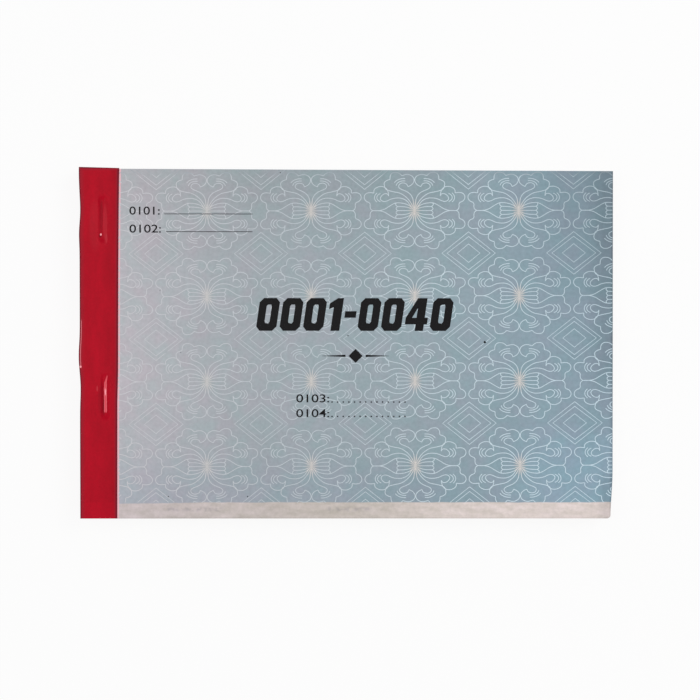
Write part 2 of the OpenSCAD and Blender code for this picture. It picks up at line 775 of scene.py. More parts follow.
@dataclass(frozen=True)
class OrnamentLattice:
    """Places at which the cover's ornament repeats, in millimetres."""

    centre: Pair = (24.49, -13.2)
    pitch: Pair = (37.3, 30.41)
    lean: float = -0.0054
    tilt: float = 0.0039
    stretch: Triple = (-2.48e-3, 1.08e-4, 1.42e-6)
    fan: float = -8.6e-5
    core_solid: float = 0.1

    def skew(self, places: np.ndarray) -> np.ndarray:
        """Sets the print slightly askew on the cover, and stretches it towards the fore edge.

        Args:
            places: Places in metres, one row per point.

        Returns:
            The moved places.
        """
        across = places[:, 0] / MM - self.centre[0]
        up = places[:, 1] / MM - self.centre[1]
        first, second, third = self.stretch
        drift = across * (first + across * (second + across * third) + self.fan * up)
        moved = places.copy()
        moved[:, 0] += MM * (drift + self.lean * up)
        moved[:, 1] += MM * self.tilt * across
        return moved

    def core(self, sh: PlacedShader, size: tuple[Value, Value]) -> Socket:
        """Soft mask round each medallion's middle.

        Args:
            sh: Tree to work in.
            size: Half-sizes at which the mask ends.

        Returns:
            The mask.
        """
        across = sh.math("SUBTRACT", sh.x, self.centre[0])
        up = sh.math("SUBTRACT", sh.y, self.centre[1])
        first, second, third = self.stretch
        slope = sh.math("MULTIPLY_ADD", across, sh.math("MULTIPLY_ADD", across, third, second), first)
        drift = sh.product(across, sh.math("MULTIPLY_ADD", up, self.fan, slope))
        straight_x = sh.math("SUBTRACT", sh.math("MULTIPLY_ADD", up, -self.lean, across), drift)
        straight_y = sh.math("MULTIPLY_ADD", across, -self.tilt, up)
        offsets = []
        for value, pitch, half in zip((straight_x, straight_y), self.pitch, size):
            near = sh.math("WRAP", value, pitch / 2, -pitch / 2)
            offsets.append(sh.math("POWER", sh.math("ABSOLUTE", sh.math("DIVIDE", near, half)), 2.0))
        return sh.step(sh.math("ADD", *offsets), 1.0, self.core_solid)


@dataclass
class SharedEffects:
    """Node groups that several finishes use, each made when it is first needed."""

    book: BookFrame
    lattice: OrnamentLattice
    perforation: Perforation
    receipt: ReceiptForm = ReceiptForm()
    # Area of the painted shade in the cover's upper fore corner.
    painted_shade_corner: Box = (45.0, 98.0, -12.0, 62.0)
    fibre_tone: Pair = (0.94, 1.06)
    cloud_tone: Pair = (0.96, 1.04)
    scratch_ends: Pair = (0.6, 0.74)
    smudge_ends: Pair = (0.42, 0.72)

    @cached_property
    def grain(self) -> NodeTree:
        """Fibres and clouds of paper: a tone about one, and a height.

        Returns:
            The group.
        """
        sh = EffectGroup("PaperGrain")
        fibres = sh.noise(scale=2.6, detail=3.0, stretch=(1.0, 1.6, 1.0))
        clouds = sh.noise(scale=0.11)
        tone = sh.product(sh.span(fibres, *self.fibre_tone), sh.span(clouds, *self.cloud_tone))
        return sh.give(Tone=tone, Height=fibres)

    @cached_property
    def wear(self) -> NodeTree:
        """Traces of handling: fine scratches, and broad smudges, both from zero to one.

        Returns:
            The group.
        """
        sh = EffectGroup("HandlingWear")
        streaks = sh.noise(scale=1.1, detail=4.0, stretch=(1.4, 0.12, 1.0))
        smudges = sh.noise(scale=0.045, detail=3.0)
        scratch = sh.step(streaks, *self.scratch_ends)
        return sh.give(Scratch=scratch, Smudge=sh.step(smudges, *self.smudge_ends))

    @cached_property
    def form(self) -> NodeTree:
        """Receipt form: a mask of its ink, and one of the perforation.

        Returns:
            The group.
        """
        sh = EffectGroup("ReceiptForm")
        slits = self.perforation.mask(sh, self.book)
        return sh.give(Ink=self.receipt.mask(sh), Slits=slits)

    @cached_property
    def plan(self) -> NodeTree:
        """Cover's plan: shares of its width and height, and a mask of the painted shade in its upper
        fore corner.

        Returns:
            The group.
        """
        sh = EffectGroup("CoverPlan")
        crease, fore = self.book.crease_x / MM, self.book.fore_x / MM
        tail, head = self.book.tail_y / MM, self.book.head_y / MM
        across = sh.math("DIVIDE", sh.math("SUBTRACT", sh.x, crease), fore - crease)
        up = sh.math("DIVIDE", sh.math("SUBTRACT", sh.y, tail), head - tail)
        return sh.give(Across=across, Up=up, Shade=sh.fade(self.painted_shade_corner))

    @cached_property
    def core(self) -> NodeTree:
        """Middles of the medallions: a soft mask of given half-sizes.

        Returns:
            The group.
        """
        sh = EffectGroup("MedallionCore", "HalfWidth", "HalfHeight")
        size = (sh.given["HalfWidth"], sh.given["HalfHeight"])
        return sh.give(Mask=self.lattice.core(sh, size))


class BookMaterial(PlacedShader):
    """Material of one of the book's pieces, in the making."""

    def __init__(self, name: str, source: PlaceSource, effects: SharedEffects) -> None:
        """Adds the material.

        Args:
            name: Name of the material.
            source: Where the place is read.
            effects: Shared node groups.
        """
        self.material, self.principled = new_material(name)
        self.effects = effects
        super().__init__(self.material.node_tree)
        feeds: Feeds = {0: self.node("TexCoord").outputs[source.value]}
        if source is PlaceSource.OBJECT:
            feeds["Scale"] = 1.0 / MM
            place = self.node("VectorMath", feeds, operation="SCALE")
        else:
            book = effects.book
            span = (book.fore_x - book.spine_x, book.head_y - book.tail_y, 0.0)
            feeds[1] = tuple(part / MM for part in span)
            feeds[2] = (book.spine_x / MM, book.tail_y / MM, 0.0)
            place = self.node("VectorMath", feeds, operation="MULTIPLY_ADD")
        self.locate(place.outputs[0])

    @cached_property
    def grain(self) -> dict[str, Socket]:
        """Tone and height of the paper's grain."""
        return self.group(self.effects.grain, Place=self.place)

    @cached_property
    def wear(self) -> dict[str, Socket]:
        """Scratches and smudges of handling."""
        return self.group(self.effects.wear, Place=self.place)

    @cached_property
    def plan(self) -> dict[str, Socket]:
        """Shares of the cover's width and height, and the mask of the painted shade in its upper fore
        corner.
        """
        return self.group(self.effects.plan, Place=self.place)

    def core(self, size: Pair) -> Socket:
        """Soft mask of the medallions' middles, of given half-sizes."""
        inputs = {"Place": self.place, "HalfWidth": size[0], "HalfHeight": size[1]}
        return self.group(self.effects.core, **inputs)["Mask"]


@dataclass(frozen=True)
class PaperSurface:
    """Roughness, gloss and relief that a finish takes from the height of its grain."""

    roughness: Pair
    gloss: float
    relief: float

    def finish(self, sh: BookMaterial, colour: Value, rubbed: Value = 0.0) -> Material:
        """Feeds a material's principled shader.

        Args:
            sh: Material in the making.
            colour: Its base colour.
            rubbed: Roughness that wear adds.

        Returns:
            The finished material.
        """
        height = sh.grain["Height"]
        feeds = {
            "Base Color": colour,
            "Roughness": sh.math("ADD", sh.span(height, *self.roughness), rubbed),
            "Specular IOR Level": self.gloss,
            "Normal": sh.bump(height, self.relief),
        }
        sh.feed(sh.principled, feeds)
        return sh.material


@dataclass(frozen=True)
class CoverFinish:
    """Pale print of the front cover, with a bare strip along its tail, in millimetres."""

    # Run across the cover: the print's blue, greyer towards the spine partly as painted glare.
    stops: Stops = (
        (0.0, (185, 183, 189)),
        (0.25, (163, 169, 175)),
        (0.6, (148, 163, 171)),
        (0.86, (144, 163, 175)),
        (1.0, (138, 157, 170)),
    )
    # Painted shade of the upper fore corner.
    painted_shade: Rgb = (112, 130, 140)
    painted_shade_share: float = 0.62
    # Painted light: the cover turns a brighter blue towards its lower fore corner.
    blue: Rgb = (147, 175, 193)
    painted_light_area: Box = (45.0, 80.0, -24.0, -42.0)
    painted_light_share: float = 0.5
    # Painted light and shade up the cover on its spine side, brightest about two fifths of the way up.
    painted_light_up: Stops = (
        (0.06, (251, 254, 258)),
        (0.11, (252, 254, 257)),
        (0.2, (260, 259, 259)),
        (0.4, (267, 264, 263)),
        (0.72, (262, 261, 260)),
        (0.86, (258, 256, 255)),
        (0.95, (252, 252, 250)),
    )
    painted_light_up_ends: Pair = (62.0, 28.0)
    tints: Stops = ((0.36, (244, 255, 254)), (0.64, (254, 251, 254)))
    cream: Rgb = (216, 209, 201)
    glows: tuple[tuple[Pair, float], ...] = (((2.2, 3.6), 0.26), ((0.9, 2.4), 0.5))
    glow_ends: Pair = (-80.0, 15.0)
    glow_span: Pair = (0.5, 1.0)
    strip: Stops = (
        (0.0, (206, 195, 195)),
        (0.45, (198, 190, 183)),
        (0.7, (224, 213, 208)),
        (1.0, (226, 214, 210)),
    )
    strip_soft: float = 0.22
    waver: float = 0.25
    dip: float = 0.5
    dip_ends: Pair = (-45.0, -80.0)
    show_through: Rgb = (160, 154, 158)
    marks: tuple[Box, ...] = ((-64.0, -44.5, -59.9, -58.5), (-7.0, 9.0, -59.9, -58.5))
    mark_soft: float = 0.6
    blot_ends: Pair = (0.38, 0.7)
    mark_share: float = 0.5
    mottles: Stops = ((0.34, (245, 245, 242)), (0.66, (265, 263, 265)))
    smudge: float = 0.965
    flock: Pair = (0.845, 1.145)
    rubbed: Rgb = (250, 188, 197)
    rubbed_ends: Pair = (0.8, 0.4)
    rubbed_share: float = 0.85
    scratch: float = 0.08
    # Painted shade near the fore edge.
    painted_shade_areas: tuple[tuple[Box, float], ...] = (
        ((83.0, 94.0, -28.0, 0.0), -0.19),
        ((89.0, 93.0, -44.0, -50.0), -0.17),
    )
    tail_line: Pair = (0.6, 0.2)
    tail_dim: float = -0.09
    painted_fore_shade_width: float = 0.9
    painted_fore_shade: float = -0.25
    face: PaperSurface = PaperSurface((0.5, 0.56), 0.25, 0.012 * MM)
    inside: Rgb = (214, 209, 203)
    inside_smudge: float = 0.95
    inside_face: PaperSurface = PaperSurface((0.74, 0.84), 0.3, 0.02 * MM)

    def _ground(self, sh: BookMaterial) -> Socket:
        """Printed ground: its run across, greyer towards the spine partly as painted glare; the painted
        shade of its upper fore corner and the painted light of its lower fore corner; painted light and
        shade up its spine side; and the glow of the medallions.

        Args:
            sh: Material in the making.

        Returns:
            The colour.
        """
        # Run across, greyer towards the spine partly as painted glare.
        colour = sh.ramp(sh.plan["Across"], self.stops)
        # Painted shade of the upper fore corner.
        colour = sh.paint(colour, self.painted_shade, sh.plan["Shade"], self.painted_shade_share)
        # Painted light towards the lower fore corner.
        colour = sh.paint(colour, self.blue, sh.fade(self.painted_light_area), self.painted_light_share)
        # Painted light and shade up the spine side.
        colour = sh.tone(colour, sh.ramp(sh.plan["Up"], self.painted_light_up), sh.step(sh.x, *self.painted_light_up_ends))
        colour = sh.tone(colour, sh.ramp(sh.noise(scale=0.12, detail=3.0), self.tints))
        fade = sh.span(sh.step(sh.x, *self.glow_ends), *self.glow_span)
        for size, share in self.glows:
            colour = sh.paint(colour, self.cream, sh.core(size), fade, share)
        return colour

    def _strip(self, sh: BookMaterial) -> Socket:
        """Bare paper of the strip, mottled, with faint marks that show through it.

        Args:
            sh: Material in the making.

        Returns:
            The colour.
        """
        marks = sh.union(*[sh.patch(box, self.mark_soft) for box in self.marks])
        blots = sh.step(sh.noise(scale=0.55, detail=1.0), *self.blot_ends)
        colour = sh.ramp(sh.plan["Across"], self.strip)
        colour = sh.paint(colour, self.show_through, marks, blots, self.mark_share)
        mottle = sh.noise(scale=0.35, detail=4.0, stretch=(0.5, 1.4, 1.0))
        return sh.tone(colour, sh.ramp(mottle, self.mottles))

    def _bare(self, sh: BookMaterial) -> Socket:
        """Mask of the strip, whose upper edge wavers, and dips towards the spine.

        Args:
            sh: Material in the making.

        Returns:
            The mask.
        """
        waver = sh.span(sh.noise(scale=0.2), -self.waver, self.waver)
        dip = sh.product(sh.step(sh.x, *self.dip_ends), self.dip)
        level = sh.math("ADD", sh.math("ADD", sh.y, waver), dip)
        return sh.step(level, STRIP_TOP + self.strip_soft, STRIP_TOP - self.strip_soft)

    def _edges(self, sh: BookMaterial) -> Value:
        """Tone of painted shade towards the fore edge, and darker along the tail.

        Args:
            sh: Material in the making.

        Returns:
            The tone.
        """
        book = sh.effects.book
        fore, tail = book.fore_x / MM, book.tail_y / MM
        start, end = self.tail_line
        tone: Value = 1.0
        # Painted shade near the fore edge.
        for area, change in self.painted_shade_areas:
            tone = sh.math("MULTIPLY_ADD", sh.fade(area), change, tone)
        tone = sh.math("MULTIPLY_ADD", sh.step(sh.y, tail + start, tail + end), self.tail_dim, tone)
        # Painted shade along the fore edge.
        return sh.math("MULTIPLY_ADD", sh.step(sh.x, fore - self.painted_fore_shade_width, fore), self.painted_fore_shade, tone)

    def printed(self, effects: SharedEffects) -> Material:
        """Makes the printed face's material.

        Args:
            effects: Shared node groups.

        Returns:
            The material.
        """
        sh = BookMaterial("cover_print", PlaceSource.PLAN_UV, effects)
        colour = sh.mix(self._bare(sh), self._ground(sh), self._strip(sh))
        flock = sh.span(sh.noise(scale=0.8, detail=4.0), *self.flock)
        smudged = sh.span(sh.wear["Smudge"], 1.0, self.smudge)
        colour = sh.tone(sh.tone(colour, sh.grain["Tone"]), sh.product(smudged, flock))
        rubbed = sh.step(sh.attribute(PAST_TAPE), *self.rubbed_ends)
        colour = sh.paint(colour, self.rubbed, rubbed, self.rubbed_share)
        colour = sh.tone(colour, self._edges(sh))
        return self.face.finish(sh, colour, sh.product(sh.wear["Scratch"], self.scratch))

    def unprinted(self, effects: SharedEffects, source: PlaceSource) -> Material:
        """Makes the bare paper's material, for the inside and the edges.

        Args:
            effects: Shared node groups.
            source: Where the piece's places are read.

        Returns:
            The material.
        """
        sh = BookMaterial(f"cover_inside_{source.name.lower()}", source, effects)
        colour = sh.tone(linear(self.inside), sh.grain["Tone"])
        colour = sh.tone(colour, sh.span(sh.wear["Smudge"], 1.0, self.inside_smudge))
        return self.inside_face.finish(sh, colour)


@dataclass(frozen=True)
class OrnamentFinish:
    """Pale line print of the ornament, fainter towards the spine, in millimetres."""

    # Line colours across the cover, greyer towards the spine partly as painted glare.
    stops: Stops = (
        (0.0, (207, 206, 211)),
        (0.35, (194, 203, 209)),
        (0.7, (203, 220, 228)),
        (1.0, (198, 219, 230)),
    )
    cream: Rgb = (226, 216, 210)
    core: Pair = (3.0, 5.2)
    core_ends: Pair = (-80.0, 15.0)
    core_span: Pair = (0.25, 0.8)
    worn: Rgb = (152, 164, 172)
    worn_below_head: Pair = (3.0, 1.2)
    worn_share: float = 0.8
    patches: Pair = (0.87, 1.07)
    shade: float = -0.3
    lit_area: Box = (0.0, 60.0, 0.0, -50.0)
    lit: float = 0.06
    face: PaperSurface = PaperSurface((0.5, 0.56), 0.25, 0.012 * MM)

    def material(self, effects: SharedEffects) -> Material:
        """Makes the material.

        Args:
            effects: Shared node groups.

        Returns:
            The material.
        """
        sh = BookMaterial("ornament_print", PlaceSource.PLAN_UV, effects)
        fade = sh.span(sh.step(sh.x, *self.core_ends), *self.core_span)
        # Line colours across, greyer towards the spine partly as painted glare.
        colour = sh.ramp(sh.plan["Across"], self.stops)
        colour = sh.paint(colour, self.cream, sh.core(self.core), fade)
        start, end = (effects.book.head_y / MM - below for below in self.worn_below_head)
        colour = sh.paint(colour, self.worn, sh.step(sh.y, start, end), self.worn_share)
        light = sh.math("MULTIPLY_ADD", sh.plan["Shade"], self.shade, 1.0)
        light = sh.math("MULTIPLY_ADD", sh.fade(self.lit_area), self.lit, light)
        patchy = sh.span(sh.noise(scale=0.5), *self.patches)
        return self.face.finish(sh, sh.tone(colour, sh.product(patchy, light)))


@dataclass(frozen=True)
class InkFinish:
    """Printing ink on the cover."""

    name: str
    colour: Rgb
    pinhole: Rgb = (96, 98, 104)
    pinhole_ends: Pair = (0.66, 0.78)
    pinhole_share: float = 0.35
    face: PaperSurface = PaperSurface((0.46, 0.56), 0.1, 0.012 * MM)

    def material(self, effects: SharedEffects) -> Material:
        """Makes the material.

        Args:
            effects: Shared node groups.

        Returns:
            The material.
        """
        sh = BookMaterial(self.name, PlaceSource.PLAN_UV, effects)
        pinholes = sh.step(sh.noise(scale=3.4, detail=1.0), *self.pinhole_ends)
        colour = sh.paint(linear(self.colour), self.pinhole, pinholes, self.pinhole_share)
        return self.face.finish(sh, colour)


@dataclass(frozen=True)
class CopyFinish:
    """Thin copy paper with a receipt form printed on its face."""

    copy: Copy
    colour: Rgb
    ink: Rgb = (70, 84, 120)
    ink_share: float = 0.8
    slit: Rgb = (96, 92, 90)
    slit_share: float = 0.6
    face: PaperSurface = PaperSurface((0.72, 0.82), 0.3, 0.015 * MM)

    def material(self, effects: SharedEffects, source: PlaceSource, printed: bool) -> Material:
        """Makes the material.

        Args:
            effects: Shared node groups.
            source: Where the piece's places are read.
            printed: Whether the face carries the form.

        Returns:
            The material.
        """
        kind = "form" if printed else "bare"
        sh = BookMaterial(f"{self.copy.value}_{kind}_{source.name.lower()}", source, effects)
        colour = sh.tone(linear(self.colour), sh.grain["Tone"])
        if printed:
            form = sh.group(effects.form, Place=sh.place)
            colour = sh.paint(colour, self.ink, form["Ink"], self.ink_share)
            colour = sh.paint(colour, self.slit, form["Slits"], self.slit_share)
        return self.face.finish(sh, colour)


@dataclass(frozen=True)
class BoardFinish:
    """Grey pulp board of the back cover."""

    colour: Rgb = (163, 156, 146)
    fleck: Rgb = (112, 104, 96)
    fleck_ends: Pair = (0.62, 0.7)
    fleck_share: float = 0.5
    smudge: float = 0.88
    face: PaperSurface = PaperSurface((0.8, 0.9), 0.25, 0.04 * MM)

    def material(self, effects: SharedEffects) -> Material:
        """Makes the material.

        Args:
            effects: Shared node groups.

        Returns:
            The material.
        """
        sh = BookMaterial("grey_board", PlaceSource.OBJECT, effects)
        pulp = sh.noise(scale=1.3, detail=3.0, stretch=(1.0, 2.2, 1.0))
        flecks = sh.step(pulp, *self.fleck_ends)
        colour = sh.paint(linear(self.colour), self.fleck, flecks, self.fleck_share)
        colour = sh.tone(colour, sh.grain["Tone"])
        colour = sh.tone(colour, sh.span(sh.wear["Smudge"], 1.0, self.smudge))
        return self.face.finish(sh, colour)


@dataclass(frozen=True)
class TapeFinish:
    """Red satin binding tape, with painted shade and highlights over the staples and darker along its
    edges, in millimetres.
    """

    colour: Rgb = (176, 4, 31)
    clouds: Pair = (0.8, 1.2)
    speckles: Pair = (0.9, 1.1)
    weaves: Pair = (0.9, 1.1)
    dim_ends: Pair = (7.0, 1.0)
    dim_span: Pair = (1.03, 0.94)
    lit: float = 1.07
    lit_soft: float = 0.4
    deep: Rgb = (88, 4, 18)
    shaded: tuple[tuple[Box, float], ...] = (
        ((-87.3, 45.4, 0.8, 7.5), 0.33),
        ((-87.5, -19.8, 1.6, 6.8), 0.27),
        ((-86.6, -22.6, 0.6, 3.6), 0.4),
        ((-87.7, 38.4, 0.7, 0.9), 0.5),
    )
    sheen: Rgb = (206, 74, 84)
    glints: tuple[tuple[Box, float], ...] = (
        ((-86.0, 43.0, 0.9, 8.5), 0.2),
        ((-89.6, 42.0, 2.6, 11.0), 0.07),
        ((-85.6, 37.6, 0.5, 2.2), 0.25),
        ((-89.0, -16.0, 0.35, 1.3), 0.4),
    )
    scratch_share: float = 0.05
    # Darker bands along the spine edge, the front edge and the head.
    edge_darkening: Rgb = (146, 34, 48)
    edge_darkening_ends: tuple[Pair, ...] = ((2.3, 0.7), (1.5, 0.5), (1.1, 0.1))
    edge_darkening_share: float = 0.6
    edge_line: Rgb = (110, 14, 36)
    edge_ends: tuple[Pair, ...] = ((0.85, 0.5), (0.85, 0.4), (0.3, -0.15))
    edge_share: float = 0.85
    # Pale pink of the painted highlights: on the lifted fold, over the lower staple's ridge and in small
    # spots.
    bare: Rgb = (272, 180, 188)
    # Painted highlight along the lifted fold at the spine.
    fold_highlight_span: Pair = (-8.2, 8.4)
    fold_highlight_run: Pair = (0.8, 0.95)
    fold_highlight_share: float = 0.6
    # Painted highlights: small pale spots on the upper ridge and at the end of the fold.
    highlight_spots: tuple[Box, ...] = ((-87.5, 38.9, 0.42, 0.5), (-94.9, -8.2, 0.45, 0.5))
    highlight_spot_share: float = 0.9
    # Painted highlight over the lower staple's ridge: a pink blade with paler rims and core.
    ridge_highlight: Rgb = (230, 84, 97)
    ridge_highlight_share: float = 0.9
    ridge_highlight_x: float = -86.0
    ridge_highlight_span: Pair = (-24.4, -11.4)
    ridge_highlight_sway: float = 0.15
    ridge_highlight_lean: float = 0.55
    ridge_highlight_lean_run: float = 3.0
    ridge_highlight_halves: Pair = (0.02, 0.34)
    ridge_highlight_widens: Pair = (0.6, -4.0)
    ridge_highlight_ragged: float = 0.2
    ridge_highlight_soft: Pair = (0.06, -0.06)
    ridge_highlight_rim: float = 0.3
    ridge_highlight_rim_inner: float = 0.5
    ridge_highlight_rim_soft: float = 0.15
    ridge_highlight_core: Box = (-86.0, -17.2, 0.32, 1.5)
    ridge_highlight_core_share: float = 0.75
    top_depth: Pair = (0.8, 0.3)
    roughness: Pair = (0.4, 0.58)
    gloss: float = 0.065
    relief: float = 0.02 * MM

    def _ground(self, sh: BookMaterial, weave: Socket) -> Socket:
        """Red of the tape, cloudy, dimmer towards its front edge and brighter past the cover's strip.

        Args:
            sh: Material in the making.
            weave: Noise of the tape's weave.

        Returns:
            The colour.
        """
        cloud = sh.noise(scale=0.35, detail=3.0, stretch=(1.0, 0.25, 1.0))
        dim = sh.step(sh.attribute(FROM_EDGE), *self.dim_ends)
        tone = sh.product(
            sh.span(cloud, *self.clouds),
            sh.span(sh.noise(scale=0.9), *self.speckles),
            sh.span(weave, *self.weaves),
            sh.span(dim, *self.dim_span),
        )
        lit = sh.step(sh.y, STRIP_TOP + self.lit_soft, STRIP_TOP - self.lit_soft)
        return sh.tone(sh.tone(linear(self.colour), tone), sh.span(lit, 1.0, self.lit))

    def _edges(self, sh: BookMaterial, colour: Value, on_top: Value) -> Socket:
        """Lays the darker bands along the edges, their dark lines and the painted highlight on the
        lifted fold over a colour.

        Args:
            sh: Material in the making.
            colour: Colour below.
            on_top: Mask of the front lap.

        Returns:
            The colour.
        """
        from_spine = sh.attribute(FROM_SPINE)
        from_head = sh.math("SUBTRACT", sh.effects.book.head_y / MM, sh.y)
        edges = (from_spine, sh.attribute(FROM_EDGE), from_head)
        edge_darkening = sh.union(*[sh.step(far, *ends) for far, ends in zip(edges, self.edge_darkening_ends)])
        lines = sh.union(*[sh.step(far, *ends) for far, ends in zip(edges, self.edge_ends)])
        fold_highlight_span = sh.band(from_spine, *self.fold_highlight_run, soft=0.1)
        fold = sh.product(fold_highlight_span, sh.band(sh.y, *self.fold_highlight_span, soft=0.8))
        colour = sh.paint(colour, self.edge_darkening, edge_darkening, on_top, self.edge_darkening_share)
        colour = sh.paint(colour, self.edge_line, lines, self.edge_share)
        # Painted highlight on the lifted fold.
        return sh.paint(colour, self.bare, fold, on_top, self.fold_highlight_share)

    def _ridge_highlight(self, sh: BookMaterial) -> tuple[Socket, Socket]:
        """Masks of the painted highlight over the lower staple's ridge: its blade, and its paler rim and
        core.

        Args:
            sh: Material in the making.

        Returns:
            Both masks.
        """
        low, high = self.ridge_highlight_span
        upward = (0.0, 1.0, 0.0)
        sway = sh.noise(scale=0.45, stretch=upward)
        middle = sh.span(sway, self.ridge_highlight_x - self.ridge_highlight_sway, self.ridge_highlight_x + self.ridge_highlight_sway)
        lean = sh.product(sh.step(sh.y, high - self.ridge_highlight_lean_run, high), self.ridge_highlight_lean)
        off = sh.math("ABSOLUTE", sh.math("SUBTRACT", sh.math("SUBTRACT", sh.x, middle), lean))
        widening = sh.step(sh.y, *(high + part for part in self.ridge_highlight_widens))
        blade = sh.span(widening, *self.ridge_highlight_halves)
        ragged = sh.noise(scale=0.83, stretch=upward)
        half = sh.math("MULTIPLY_ADD", ragged, self.ridge_highlight_ragged, blade)
        edge = sh.step(sh.math("SUBTRACT", off, half), *self.ridge_highlight_soft)
        ridge_highlight = sh.product(edge, sh.band(sh.y, low, high, soft=0.3))
        past = sh.math("MULTIPLY_ADD", half, -self.ridge_highlight_rim_inner, off)
        rim = sh.product(ridge_highlight, sh.step(past, 0.0, self.ridge_highlight_rim_soft), self.ridge_highlight_rim)
        return ridge_highlight, sh.union(rim, sh.product(ridge_highlight, sh.spot(self.ridge_highlight_core)))

    def material(self, effects: SharedEffects) -> Material:
        """Makes the material.

        Args:
            effects: Shared node groups.

        Returns:
            The material.
        """
        sh = BookMaterial("red_tape", PlaceSource.OBJECT, effects)
        weave = sh.noise(scale=2.2, detail=3.0)
        start, end = (effects.book.tape_top / MM - depth for depth in self.top_depth)
        on_top = sh.step(sh.z, start, end)
        colour = self._ground(sh, weave)
        for area, share in self.shaded:
            colour = sh.paint(colour, self.deep, sh.spot(area), on_top, share)
        for area, share in self.glints:
            colour = sh.paint(colour, self.sheen, sh.spot(area), on_top, share)
        colour = self._edges(sh, colour, on_top)
        # Painted highlight over the lower staple's ridge.
        ridge_highlight, core = self._ridge_highlight(sh)
        colour = sh.paint(colour, self.ridge_highlight, ridge_highlight, on_top, self.ridge_highlight_share)
        colour = sh.paint(colour, self.bare, core, on_top, self.ridge_highlight_core_share)
        # Painted highlight spots.
        highlight_spots = sh.union(*[sh.spot(area) for area in self.highlight_spots])
        colour = sh.paint(colour, self.bare, highlight_spots, on_top, self.highlight_spot_share)
        scratch = sh.wear["Scratch"]
        feeds = {
            "Base Color": sh.paint(colour, self.sheen, scratch, self.scratch_share),
            "Roughness": sh.span(scratch, *self.roughness),
            "Specular IOR Level": self.gloss,
            "Normal": sh.bump(weave, self.relief),
        }
        sh.feed(sh.principled, feeds)
        return sh.material


@dataclass(frozen=True)
class WireFinish:
    """Drawn steel wire of the staples."""

    colour: Rgb = (190, 192, 196)
    dull: Rgb = (140, 134, 128)
    dull_share: float = 0.4
    roughness: Pair = (0.22, 0.47)
    relief: float = 0.01 * MM

    def material(self, effects: SharedEffects) -> Material:
        """Makes the material.

        Args:
            effects: Shared node groups.

        Returns:
            The material.
        """
        sh = BookMaterial("staple_wire", PlaceSource.OBJECT, effects)
        drawn = sh.noise(scale=1.0, stretch=(6.0, 0.6, 6.0))
        dulled = sh.paint(linear(self.colour), self.dull, sh.wear["Smudge"], self.dull_share)
        feeds = {
            "Base Color": dulled,
            "Metallic": 1.0,
            "Roughness": sh.span(drawn, *self.roughness),
            "Normal": sh.bump(drawn, self.relief),
        }
        sh.feed(sh.principled, feeds)
        return sh.material


